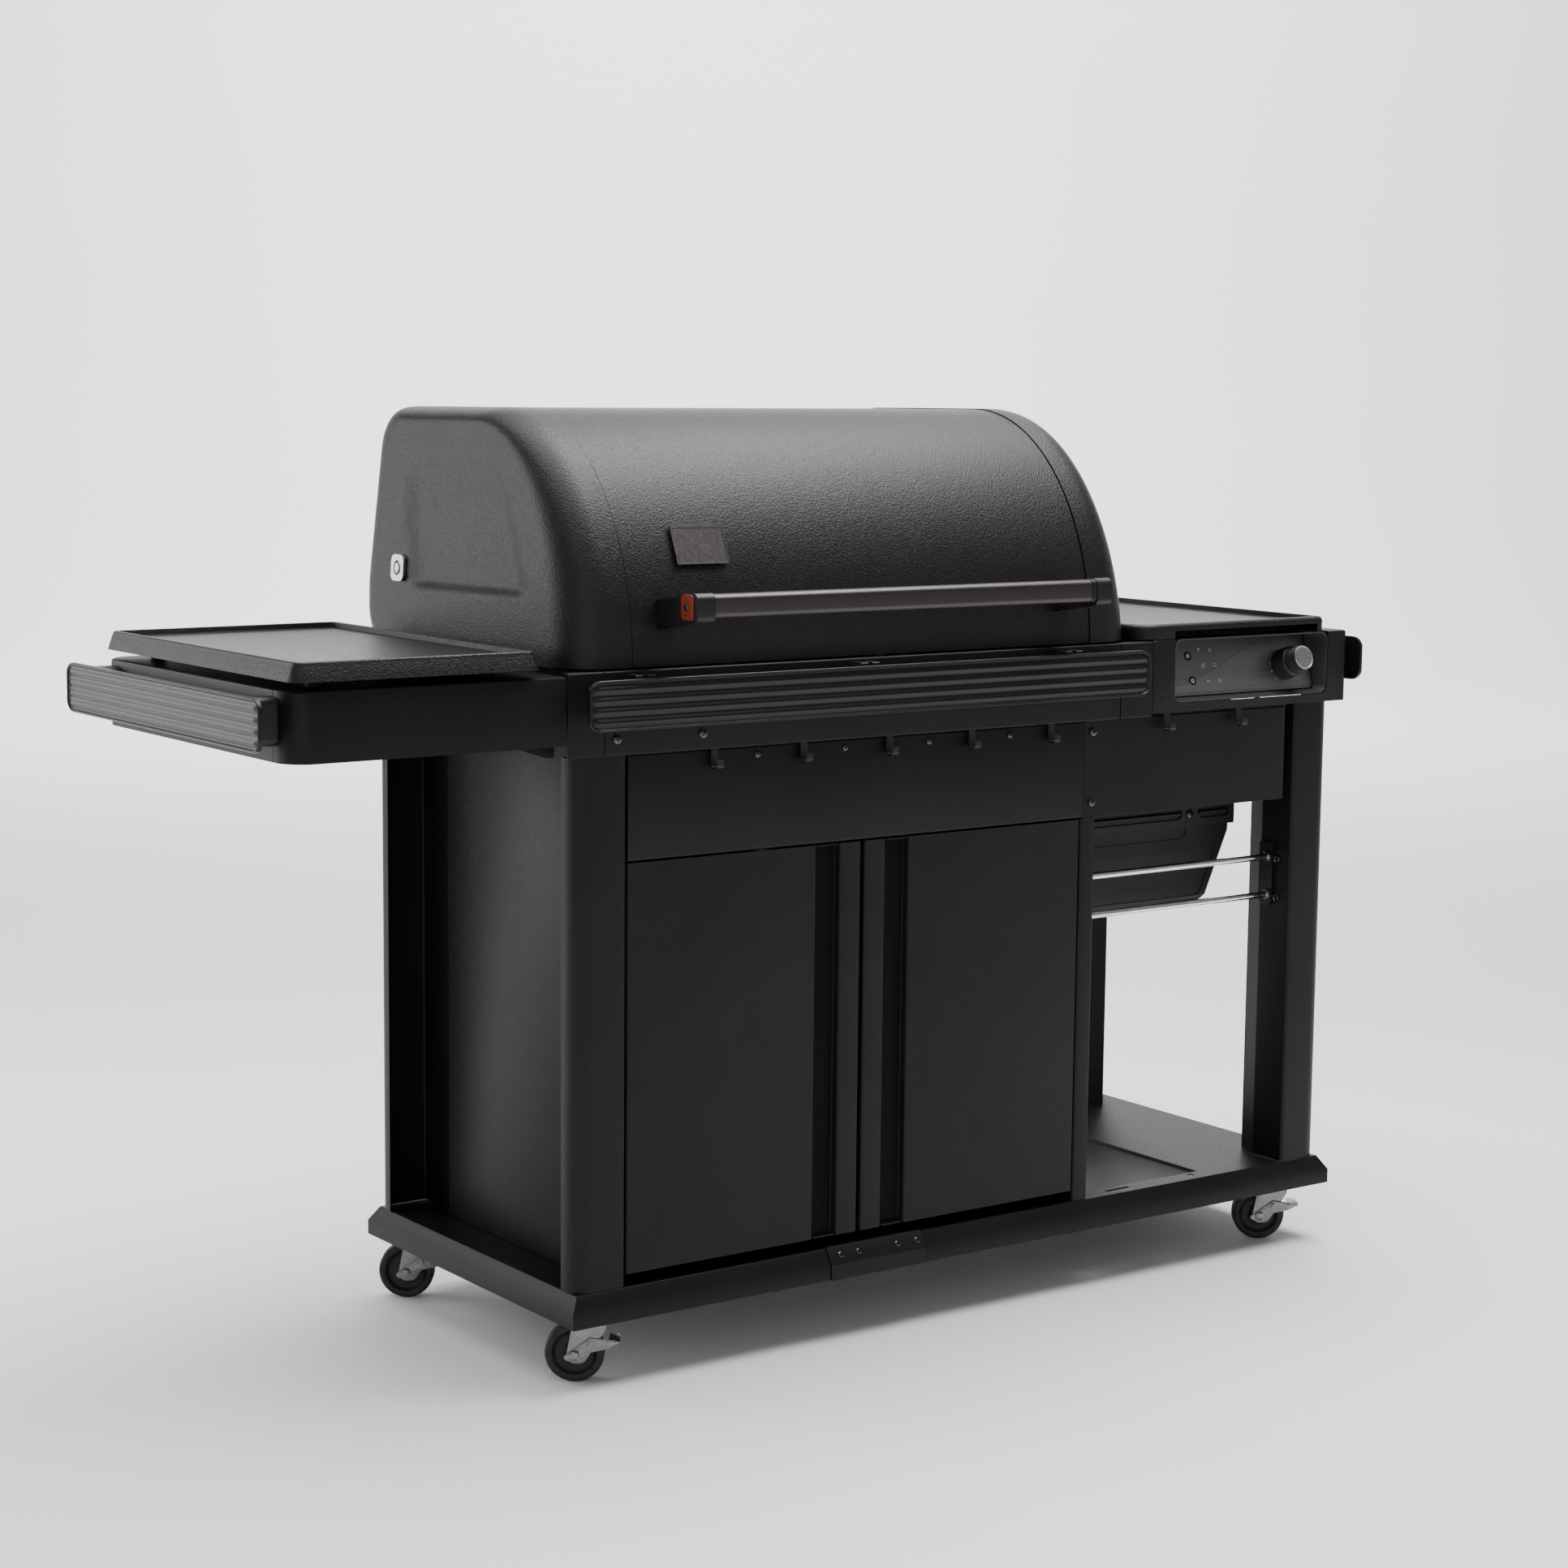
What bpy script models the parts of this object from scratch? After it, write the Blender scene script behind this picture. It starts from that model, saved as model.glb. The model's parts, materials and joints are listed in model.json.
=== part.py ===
"""Pellet smoker grill on a wheeled cabinet, with side shelf, hopper and controls.

Lengths are metres.  While it is being built, the grill is measured from the floor and
from the front left corner of its base: X along the base, Y towards the back, Z up.
GRILL_CENTRE then moves the whole of it, so that the origin is under its middle.
"""
import math

import bmesh
import bpy
from mathutils import Matrix, Vector

# ---------------------------------------------------------------- driving dimensions
GAP = 0.0003                    # clearance between pieces that touch
SHEET = 0.002                   # thickness of the folded sheet steel

LEFT_END = -0.424               # outer face of the left handle
RIGHT_END = 1.351               # outer face of the right handle
FRONT_END = -0.077              # front of the lid's handle
REAR_END = 0.600                # back of the exhaust duct

BASE_LENGTH = 1.320
BASE_DEPTH = 0.540
BASE_BOTTOM = 0.086
BASE_EDGE = 0.106               # top of the base's upright edge
BASE_TOP = 0.126
BASE_CHAMFER = 0.0125
BASE_SPLIT = 0.478              # where the two halves of the base meet

FACE_Y = 0.0135                 # outer face of the legs, doors and aprons
LEG_WIDTH = 0.075
LEG_CORNER = 0.024
LEG_OUTSIDE = 0.010             # outer side of a leg from the end of the base
LEG_RETURN = 0.047              # back edge of a leg's outer flange
WEB_DEPTH = 0.073               # where a leg's inner web bends outwards
WEB_END = 0.112
WEB_FLARE = 0.015

BEAM_FRONT = 0.0045
BEAM_BOTTOM = 0.8035
BEAM_TOP = 0.909
DOOR_BOTTOM = 0.142
DOOR_TOP = 0.667
DOOR_DEPTH = 0.018
POST_LEFT = 0.829
POST_RIGHT = 0.856
BAY_RIGHT = BASE_LENGTH - LEG_OUTSIDE - LEG_WIDTH

LID_LEFT = 0.012
LID_RIGHT = 0.906
LID_SEAMS = (0.0886, 0.8327)
LID_BOTTOM = 0.912
LID_TOP = 1.2255
LID_FRONT = 0.008
LID_CREST = 0.262               # where the front curve runs into the flat top
LID_REAR = 0.572
HINGE_Y = 0.574
HINGE_Z = 0.905

SHELF_LEFT = -0.380
SHELF_TOP = 0.905
BOX_LEFT = 0.950
BOX_RIGHT = 1.330
BOX_BOTTOM = 0.808
BOX_TOP = 0.9105
BODY_BACK = 0.530

WHEEL_RADIUS = 0.038
CASTER_INSET = (0.061, 0.050)
CASTER_TRAIL = 0.0236
CASTER_HEADING = math.radians(144.0)
CASTER_TOP = BASE_TOP - SHEET - GAP

GRILL_CENTRE = Vector(((LEFT_END + RIGHT_END) / 2, (FRONT_END + REAR_END) / 2, 0.0))

# ---------------------------------------------------------------- scene and materials
for old in list(bpy.data.objects):
    bpy.data.objects.remove(old, do_unlink=True)

parts = bpy.data.collections.new("pellet_smoker_grill")
cutters = bpy.data.collections.new("cutters")
for collection in (parts, cutters):
    bpy.context.scene.collection.children.link(collection)


def make_material(name, colour, roughness, metallic=0.0):
    """A plain Principled BSDF."""
    material = bpy.data.materials.new(name)
    material.use_nodes = True
    shader = material.node_tree.nodes["Principled BSDF"]
    shader.inputs["Base Color"].default_value = (*colour, 1.0)
    shader.inputs["Roughness"].default_value = roughness
    shader.inputs["Metallic"].default_value = metallic
    return material


BLACK_PAINT = make_material("textured_black_paint", (0.018, 0.018, 0.019), 0.48)
SATIN_BLACK = make_material("satin_black_paint", (0.012, 0.012, 0.013), 0.38)
DARK_PANEL = make_material("brushed_dark_panel", (0.085, 0.085, 0.088), 0.34, 1.0)
HANDLE_METAL = make_material("dark_handle_metal", (0.060, 0.052, 0.047), 0.30, 1.0)
ZINC = make_material("zinc_plate", (0.62, 0.63, 0.64), 0.30, 1.0)
CHROME = make_material("chrome", (0.80, 0.80, 0.81), 0.10, 1.0)
STEEL = make_material("steel", (0.42, 0.42, 0.42), 0.42, 1.0)
SILVER = make_material("silver_knob", (0.52, 0.52, 0.53), 0.28, 1.0)
RUBBER = make_material("black_rubber", (0.020, 0.020, 0.020), 0.75)
PLASTIC = make_material("black_plastic", (0.022, 0.022, 0.023), 0.55)
ACCENT = make_material("orange_red_insert", (0.52, 0.085, 0.030), 0.45)


# ---------------------------------------------------------------- shape helpers
def turn_to(axis):
    """Rotation that carries local Z to the named axis."""
    turns = {
        "X": ((0, 0, 1), (1, 0, 0), (0, 1, 0)),
        "Y": ((1, 0, 0), (0, 0, -1), (0, 1, 0)),
        "Z": ((1, 0, 0), (0, 1, 0), (0, 0, 1)),
    }
    return Matrix(turns[axis]).to_4x4()


def centre_on(axis, lo, hi):
    """Matrix for a shape drawn across an axis and centred between lo and hi on it."""
    middle = {"X": Vector((1, 0, 0)), "Y": Vector((0, 1, 0)), "Z": Vector((0, 0, 1))}[axis]
    return Matrix.Translation(middle * (lo + hi) / 2) @ turn_to(axis)


def add_object(name, data, material, collection=None):
    obj = bpy.data.objects.new(name, data)
    (collection or parts).objects.link(obj)
    data.materials.clear()
    data.materials.append(material)
    return obj


def from_bmesh(name, bm, material):
    mesh = bpy.data.meshes.new(name)
    bm.to_mesh(mesh)
    bm.free()
    return add_object(name, mesh, material)


def smooth(obj, degrees=40.0):
    obj.data.shade_smooth()
    obj.data.set_sharp_from_angle(angle=math.radians(degrees))
    return obj


def bevel(obj, width, segments=2):
    mod = obj.modifiers.new("edges", "BEVEL")
    mod.width = width
    mod.segments = segments
    mod.limit_method = "ANGLE"
    mod.angle_limit = math.radians(40.0)
    return obj


def box(name, lo, hi, material, edge=0.0):
    """A block between two corners, with its edges rounded where edge is given."""
    bm = bmesh.new()
    bmesh.ops.create_cube(bm, size=1.0)
    size = [h - l for l, h in zip(lo, hi)]
    bmesh.ops.scale(bm, vec=size, verts=bm.verts)
    obj = from_bmesh(name, bm, material)
    obj.location = [(l + h) / 2 for l, h in zip(lo, hi)]
    if edge:
        bevel(obj, edge)
    return obj


def cylinder(name, centre, radius, axis, lo, hi, material, segments=32):
    """A round bar along an axis from lo to hi; centre gives the other two coordinates."""
    bm = bmesh.new()
    bmesh.ops.create_cone(bm, cap_ends=True, segments=segments, radius1=radius,
                          radius2=radius, depth=hi - lo)
    obj = from_bmesh(name, bm, material)
    place = {"X": (0, *centre), "Y": (centre[0], 0, centre[1]), "Z": (*centre, 0)}[axis]
    obj.matrix_world = Matrix.Translation(place) @ centre_on(axis, lo, hi)
    return smooth(obj)


def as_mesh(obj):
    """Replace an object with its evaluated mesh, welded where caps lie loose."""
    bpy.context.view_layer.update()
    graph = bpy.context.evaluated_depsgraph_get()
    mesh = bpy.data.meshes.new_from_object(obj.evaluated_get(graph), depsgraph=graph)
    bm = bmesh.new()
    bm.from_mesh(mesh)
    bmesh.ops.remove_doubles(bm, verts=bm.verts, dist=1e-6)
    bmesh.ops.recalc_face_normals(bm, faces=bm.faces)
    bm.to_mesh(mesh)
    bm.free()
    name = obj.name
    place = obj.matrix_world.copy()
    material = obj.data.materials[0]
    bpy.data.objects.remove(obj, do_unlink=True)
    made = add_object(name, mesh, material)
    made.matrix_world = place
    return made


def fillet(points, radius, segments=4, closed=False):
    """Round the corners of a path; radius is one value or one for each point."""
    count = len(points)
    radii = radius if isinstance(radius, (list, tuple)) else [radius] * count
    out = []
    for index, point in enumerate(points):
        here = Vector(point)
        if radii[index] <= 0 or (not closed and index in (0, count - 1)):
            out.append(here)
            continue
        back = (Vector(points[index - 1]) - here).normalized()
        ahead = (Vector(points[(index + 1) % count]) - here).normalized()
        half = back.angle(ahead) / 2
        centre = here + (back + ahead).normalized() * radii[index] / math.sin(half)
        reach = radii[index] / math.tan(half)
        start = here + back * reach - centre
        end = here + ahead * reach - centre
        first = math.atan2(start.y, start.x)
        sweep = math.atan2(end.y, end.x) - first
        sweep = (sweep + math.pi) % math.tau - math.pi
        for step in range(segments + 1):
            angle = first + sweep * step / segments
            spoke = Vector((math.cos(angle), math.sin(angle)))
            out.append(centre + spoke * radii[index])
    return out


def rounded_rect(left, right, front, back, radius, segments=3):
    """Corners in turn: front left, front right, back right, back left."""
    corners = [(left, front), (right, front), (right, back), (left, back)]
    return fillet(corners, radius, segments, closed=True)


def circle(centre, radius, segments=24):
    spots = [math.tau * step / segments for step in range(segments)]
    return [(centre[0] + radius * math.cos(a), centre[1] + radius * math.sin(a))
            for a in spots]


def plate(name, outline, axis, lo, hi, material, holes=()):
    """A flat outline with holes, as thick as from lo to hi along an axis."""
    curve = bpy.data.curves.new(name, "CURVE")
    curve.dimensions = "2D"
    curve.fill_mode = "BOTH"
    curve.extrude = (hi - lo) / 2
    for loop in (outline, *holes):
        spline = curve.splines.new("POLY")
        spline.points.add(len(loop) - 1)
        for spot, (a, b) in zip(spline.points, loop):
            spot.co = (a, b, 0.0, 1.0)
        spline.use_cyclic_u = True
    obj = add_object(name, curve, material)
    obj.matrix_world = centre_on(axis, lo, hi)
    return as_mesh(obj)


def tube(name, points, radius, material, resolution=3):
    """A round bar along straight or bent points."""
    curve = bpy.data.curves.new(name, "CURVE")
    curve.dimensions = "3D"
    curve.bevel_depth = radius
    curve.bevel_resolution = resolution
    curve.use_fill_caps = True
    spline = curve.splines.new("POLY")
    spline.points.add(len(points) - 1)
    for spot, point in zip(spline.points, points):
        spot.co = (*point, 1.0)
    return smooth(as_mesh(add_object(name, curve, material)))


def folded(name, path, axis, lo, hi, material, thickness=SHEET):
    """Folded sheet: a path through the middle of the metal, drawn along an axis."""
    bm = bmesh.new()
    verts = [bm.verts.new((point[0], point[1], (lo - hi) / 2)) for point in path]
    edges = [bm.edges.new(pair) for pair in zip(verts, verts[1:])]
    made = bmesh.ops.extrude_edge_only(bm, edges=edges)["geom"]
    moved = [item for item in made if isinstance(item, bmesh.types.BMVert)]
    bmesh.ops.translate(bm, vec=(0, 0, hi - lo), verts=moved)
    obj = from_bmesh(name, bm, material)
    obj.matrix_world = centre_on(axis, lo, hi)
    thicken(obj, thickness, 0.0)
    return smooth(obj)


def thicken(obj, thickness, side):
    """Solidify: side -1 grows inwards, 1 outwards and 0 both ways."""
    mod = obj.modifiers.new("sheet", "SOLIDIFY")
    mod.thickness = thickness
    mod.offset = side
    mod.use_even_offset = True
    return obj


def loft(name, rings, material, first=False, last=True, closed=True):
    """A skin through rings of equal count; first and last close its ends."""
    bm = bmesh.new()
    rows = [[bm.verts.new(point) for point in ring] for ring in rings]
    count = len(rings[0])
    for low, high in zip(rows, rows[1:]):
        for index in range(count if closed else count - 1):
            after = (index + 1) % count
            bm.faces.new((low[index], low[after], high[after], high[index]))
    if first:
        bm.faces.new(list(reversed(rows[0])))
    if last:
        bm.faces.new(rows[-1])
    middle = sum((vert.co for vert in bm.verts), Vector()) / len(bm.verts)
    bm.normal_update()
    outward = sum((face.calc_center_median() - middle).dot(face.normal) * face.calc_area()
                  for face in bm.faces)
    if outward < 0:
        bmesh.ops.reverse_faces(bm, faces=bm.faces)
    return smooth(from_bmesh(name, bm, material))


def at_height(outline, height):
    return [(point[0], point[1], height) for point in outline]


def hide_cutter(obj):
    obj.hide_render = True
    obj.display_type = "WIRE"
    for home in list(obj.users_collection):
        home.objects.unlink(obj)
    cutters.objects.link(obj)


def combine(target, pieces, operation):
    for piece in pieces:
        mod = target.modifiers.new(operation.lower(), "BOOLEAN")
        mod.operation = operation
        mod.solver = "EXACT"
        mod.object = piece
        hide_cutter(piece)
    return target


def cut(target, *pieces):
    return combine(target, pieces, "DIFFERENCE")


def join(target, *pieces):
    return combine(target, pieces, "UNION")


def turned(name, profile, material, steps=32):
    """A turned piece about local Z; the profile runs down its outer side."""
    bm = bmesh.new()
    verts = [bm.verts.new((radius, 0.0, height)) for radius, height in profile]
    for pair in zip(verts, verts[1:]):
        bm.edges.new(pair)
    if profile[0][0] > 0:
        bm.edges.new((verts[-1], verts[0]))
    obj = from_bmesh(name, bm, material)
    mod = obj.modifiers.new("turn", "SCREW")
    mod.steps = steps
    mod.render_steps = steps
    mod.use_merge_vertices = True
    mod.merge_threshold = 0.00001
    mod.use_smooth_shade = True
    return obj


def hinge_empty(name, place, *riders):
    """An empty on a joint's axis, carrying the pieces that move there."""
    empty = bpy.data.objects.new(name, None)
    parts.objects.link(empty)
    empty.empty_display_size = 0.05
    empty.location = place
    bpy.context.view_layer.update()
    for rider in riders:
        rider.parent = empty
        rider.matrix_parent_inverse = empty.matrix_world.inverted()
    return empty


# ---------------------------------------------------------------- base
def base_rings(left, right, inset_left, inset_right):
    """Upright edge, chamfer and top of one half of the base."""
    rings = []
    for height, step in ((BASE_BOTTOM, 0.0), (BASE_EDGE, 0.0), (BASE_TOP, BASE_CHAMFER)):
        x0 = left + step * inset_left
        x1 = right - step * inset_right
        corners = [(x0, step), (x1, step), (x1, BASE_DEPTH - step), (x0, BASE_DEPTH - step)]
        rings.append(at_height(corners, height))
    return rings


base_left = loft("base_left", base_rings(0.0, BASE_SPLIT - GAP / 2, 1, 0), BLACK_PAINT)
thicken(base_left, SHEET, -1)

POCKET = (0.875, 1.093, 0.043, 0.470)     # shallow floor pocket in the open bay
POCKET_DEPTH = 0.004
POCKET_SLOPE = 0.003
right_rings = base_rings(BASE_SPLIT + GAP / 2, BASE_LENGTH, 0, 1)
for sink, shrink in ((0.0, 0.0), (POCKET_DEPTH, POCKET_SLOPE)):
    x0, x1, y0, y1 = POCKET
    corners = [(x0 + shrink, y0 + shrink), (x1 - shrink, y0 + shrink),
               (x1 - shrink, y1 - shrink), (x0 + shrink, y1 - shrink)]
    right_rings.append(at_height(corners, BASE_TOP - sink))
base_right = loft("base_right", right_rings, BLACK_PAINT)
thicken(base_right, SHEET, -1)

COVER = (0.399, 0.557)
COVER_REACH = 0.055             # how far back it lies on top of the base
COVER_SHEET = 0.0015
lift = GAP + COVER_SHEET / 2
chamfer_lift = lift * 0.45
cover_path = [(-lift, BASE_BOTTOM), (-lift, BASE_EDGE + chamfer_lift),
              (BASE_CHAMFER - chamfer_lift, BASE_TOP + lift), (COVER_REACH, BASE_TOP + lift)]
base_joint_plate = folded("base_joint_plate", cover_path, "X", *COVER, BLACK_PAINT,
                          COVER_SHEET)


# ---------------------------------------------------------------- legs and cabinet
def leg(name, at_right, at_back, top):
    """A folded corner leg: outer flange, face, inner web and its flared edge."""
    side = LEG_OUTSIDE + SHEET / 2
    face = FACE_Y + SHEET / 2
    web = LEG_OUTSIDE + LEG_WIDTH - SHEET / 2
    path = [(side, LEG_RETURN), (side, face), (web, face), (web, WEB_DEPTH),
            (web - WEB_FLARE, WEB_END)]
    path = fillet(path, [0, LEG_CORNER, 0.004, 0.008, 0], 3)
    if at_right:
        path = [(BASE_LENGTH - x, y) for x, y in path]
    if at_back:
        path = [(x, BASE_DEPTH - y) for x, y in path]
    return folded(name, path, "Z", BASE_TOP + GAP, top, BLACK_PAINT)


LEFT_LEG_TOP = BEAM_BOTTOM - GAP
RIGHT_LEG_TOP = BOX_BOTTOM - GAP
leg_front_left = leg("leg_front_left", False, False, LEFT_LEG_TOP)
leg_rear_left = leg("leg_rear_left", False, True, LEFT_LEG_TOP)
leg_front_right = leg("leg_front_right", True, False, RIGHT_LEG_TOP)
leg_rear_right = leg("leg_rear_right", True, True, RIGHT_LEG_TOP)

APRON_BOTTOM = 0.669
APRON_TOP = BEAM_BOTTOM - GAP
APRON_SPLIT = 0.8328
SHEET_FACE = FACE_Y + SHEET / 2
PANEL_X = LEG_OUTSIDE + LEG_WIDTH - SHEET / 2 - WEB_FLARE
CABINET_LEFT = LEG_OUTSIDE + LEG_WIDTH + 0.0018
BACK_INSIDE = BODY_BACK - 0.0035        # just clear of the flared rear legs

POST_DEPTH = 0.060
post_path = [(POST_LEFT + SHEET / 2, POST_DEPTH), (POST_LEFT + SHEET / 2, SHEET_FACE),
             (POST_RIGHT - SHEET / 2, SHEET_FACE), (POST_RIGHT - SHEET / 2, POST_DEPTH)]
cabinet_post = folded("cabinet_post", fillet(post_path, 0.003, 2), "Z", BASE_TOP + GAP,
                      APRON_BOTTOM - GAP, BLACK_PAINT)
side_panel_left = box("side_panel_left",
                      (PANEL_X - SHEET / 2, WEB_END + 2 * GAP, BASE_TOP + GAP),
                      (PANEL_X + SHEET / 2, BASE_DEPTH - WEB_END - 2 * GAP, LEFT_LEG_TOP),
                      BLACK_PAINT)
side_panel_right = box("side_panel_right",
                       (POST_RIGHT - SHEET, POST_DEPTH + 2 * GAP, BASE_TOP + GAP),
                       (POST_RIGHT, BACK_INSIDE, LEFT_LEG_TOP), BLACK_PAINT)
back_panel = box("back_panel",
                 (CABINET_LEFT, BACK_INSIDE - SHEET, BASE_TOP + GAP),
                 (POST_RIGHT - SHEET - GAP, BACK_INSIDE, LEFT_LEG_TOP), BLACK_PAINT)

HEM = 0.016
apron_path = [(SHEET_FACE + HEM, APRON_TOP - SHEET / 2), (SHEET_FACE, APRON_TOP - SHEET / 2),
              (SHEET_FACE, APRON_BOTTOM + SHEET / 2),
              (SHEET_FACE + HEM, APRON_BOTTOM + SHEET / 2)]
apron_main = folded("apron_main", fillet(apron_path, 0.002, 2), "X", CABINET_LEFT,
                    APRON_SPLIT, BLACK_PAINT)
APRON_END = 1.2225              # where the right apron turns back along the leg's web
APRON_CORNER = 0.012
right_path = [(APRON_SPLIT + GAP, SHEET_FACE), (APRON_END, SHEET_FACE), (APRON_END, 0.062)]
apron_right = folded("apron_right", fillet(right_path, APRON_CORNER, 5), "Z", APRON_BOTTOM,
                     APRON_TOP, BLACK_PAINT)

# ---------------------------------------------------------------- beam, hooks and rail
FLANGE = 0.0190
beam_path = [(FLANGE, BEAM_TOP - SHEET / 2), (BEAM_FRONT + SHEET / 2, BEAM_TOP - SHEET / 2),
             (BEAM_FRONT + SHEET / 2, BEAM_BOTTOM + SHEET / 2),
             (FLANGE, BEAM_BOTTOM + SHEET / 2)]
beam_path = fillet(beam_path, 0.002, 2)
BEAM_LEFT = -0.0060
BEAM_RIGHT = 0.8885
BEAM_SEAM = 0.0015
front_beam = folded("front_beam", beam_path, "X", BEAM_LEFT, BEAM_RIGHT, BLACK_PAINT)
beam_end_right = folded("beam_end_right", beam_path, "X", BEAM_RIGHT + BEAM_SEAM,
                        BOX_LEFT - 0.002, BLACK_PAINT)

HOOK_WIDTH = 0.011
HOOK_DROP = 0.024
HOOK_OUT = 0.013                # from the shank forward to the tip
HOOK_TIP = 0.011                # height of the tip
HOOK_SHEET = 0.0018
BITE = 0.0008                   # how far a joined piece runs into its neighbour


def hook(name, middle, start, shank):
    """A J hook of strip steel under a rail, open to the front; shank is its Y."""
    drop = start - HOOK_DROP
    tip = shank - HOOK_OUT
    path = [(shank, start + BITE), (shank, drop), (tip, drop), (tip, drop + HOOK_TIP)]
    return folded(name, fillet(path, 0.0045, 3), "X", middle - HOOK_WIDTH / 2,
                  middle + HOOK_WIDTH / 2, BLACK_PAINT, HOOK_SHEET)


FIRST_HOOK = 0.213
HOOK_SPACING = 0.1388
BEAM_SHANK = 0.0090
BOX_SHANK = 0.0063
BOX_HOOKS = (0.978, 1.116)
beam_hooks = [hook("beam_hook_%d" % index, FIRST_HOOK + index * HOOK_SPACING, BEAM_BOTTOM,
                   BEAM_SHANK) for index in range(5)]
join(front_beam, *beam_hooks)

RAIL_HEIGHT = 0.063
RAIL_CORNER = 0.017
RAIL_THICK = 0.006
RIDGE_DEPTH = 0.0025
RIDGE_FADE = (0.008, 0.010)     # where the ridges start from an end, and over what length
RIDGES = 5


def rail(name, start, end, bottom, material):
    """A corrugated rail along local X whose ridges face local -Y, with round corners."""
    def section(x):
        near = min(x - start, end - x)
        pinch = 0.0
        if near < RAIL_CORNER:
            pinch = RAIL_CORNER - math.sqrt(RAIL_CORNER ** 2 - (RAIL_CORNER - near) ** 2)
        fade = min(max((near - RIDGE_FADE[0]) / RIDGE_FADE[1], 0.0), 1.0)
        low = bottom + pinch
        tall = RAIL_HEIGHT - 2 * pinch
        steps = RIDGES * 4
        ring = []
        for step in range(steps + 1):
            share = step / steps
            wave = (1 - math.cos(math.tau * RIDGES * share)) / 2
            ring.append((x, RIDGE_DEPTH * wave * fade, low + tall * share))
        ring.append((x, RAIL_THICK, low + tall))
        ring.append((x, RAIL_THICK, low))
        return ring

    corner_steps = [RAIL_CORNER * (1 - math.cos(math.radians(30 * step))) for step in range(4)]
    stations = corner_steps + [RIDGE_FADE[0] + RIDGE_FADE[1] + 0.002]
    places = [start + s for s in stations] + [end - s for s in reversed(stations)]
    return loft(name, [section(x) for x in places], material, first=True, last=True)


RAIL_FRONT = -0.0385
RAIL_BITE = 0.001
FRONT_RAIL = (-0.001, 0.907)
FRONT_RAIL_BOTTOM = 0.8395
RAIL_STANDS = (0.0892, 0.4340, 0.7800)
STAND_HALF = 0.014
STAND_Z = (0.855, 0.9045)
front_rail = rail("front_rail", *FRONT_RAIL, FRONT_RAIL_BOTTOM, BLACK_PAINT)
front_rail.location = (0.0, RAIL_FRONT, 0.0)
for index, x in enumerate(RAIL_STANDS):
    stand = box("rail_stand_%d" % index,
                (x - STAND_HALF, RAIL_FRONT + RAIL_THICK - RAIL_BITE, STAND_Z[0]),
                (x + STAND_HALF, BEAM_FRONT - GAP, STAND_Z[1]), BLACK_PAINT)
    join(front_rail, stand)

SIDE_RAIL = (-0.006, 0.542)
SIDE_RAIL_BOTTOM = 0.8370
BRACKET_INSET = 0.055
BRACKET_HALF = 0.015
BRACKET_Z = (0.840, 0.897)


def side_handle(name, outer, body, outward):
    """A rail across the end of the grill, held off the body by two brackets."""
    handle = rail(name, *SIDE_RAIL, SIDE_RAIL_BOTTOM, BLACK_PAINT)
    quarter = Matrix.Rotation(outward * math.pi / 2, 4, "Z")
    run = SIDE_RAIL[0] + SIDE_RAIL[1]
    slide = run if outward < 0 else 0.0
    handle.matrix_world = Matrix.Translation((outer, slide, 0.0)) @ quarter
    inner = outer - outward * (RAIL_THICK - RAIL_BITE)
    ends = sorted((inner, body + outward * GAP))
    for index, y in enumerate((SIDE_RAIL[0] + BRACKET_INSET, SIDE_RAIL[1] - BRACKET_INSET)):
        bracket = box("%s_bracket_%d" % (name, index),
                      (ends[0], y - BRACKET_HALF, BRACKET_Z[0]),
                      (ends[1], y + BRACKET_HALF, BRACKET_Z[1]), BLACK_PAINT)
        join(handle, bracket)
    return handle


left_handle = side_handle("left_handle", LEFT_END, SHELF_LEFT, -1)
right_handle = side_handle("right_handle", RIGHT_END, BOX_RIGHT, 1)

# ---------------------------------------------------------------- left shelf and tray
SHELF_RIGHT = -0.0065
SHELF_BOTTOM = 0.820
SHELF_CORNER = 0.036
BODY_FRONT = 0.005
TOP_EDGE = 0.002                # rounding of the top edge of the shelf and the box
shelf_rings = []
for height, step in ((SHELF_BOTTOM, 0.0), (SHELF_TOP - TOP_EDGE, 0.0), (SHELF_TOP, TOP_EDGE)):
    outline = rounded_rect(SHELF_LEFT + step, SHELF_RIGHT - step, BODY_FRONT + step,
                           BODY_BACK - step, [SHELF_CORNER, 0.003, 0.003, SHELF_CORNER], 4)
    shelf_rings.append(at_height(outline, height))
shelf_frame = loft("shelf_frame", shelf_rings, BLACK_PAINT)
thicken(shelf_frame, SHEET, -1)


TRAY_RIM = 0.008
TRAY_SINK = 0.007


def tray(name, left, right, front, back, heights, flare, corners, material):
    """A pressed tray: skirt, raised rim and sunk field."""
    bottom, top = heights
    steps = [(bottom, -flare), (top - 0.002, -0.001), (top, 0.001), (top, TRAY_RIM),
             (top - TRAY_SINK, TRAY_RIM + 0.002)]
    rings = []
    for height, step in steps:
        radii = [max(radius - step, 0.002) for radius in corners]
        outline = rounded_rect(left + step, right - step, front + step, back - step,
                               radii, 4)
        rings.append(at_height(outline, height))
    return thicken(loft(name, rings, material), SHEET, -1)


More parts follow.
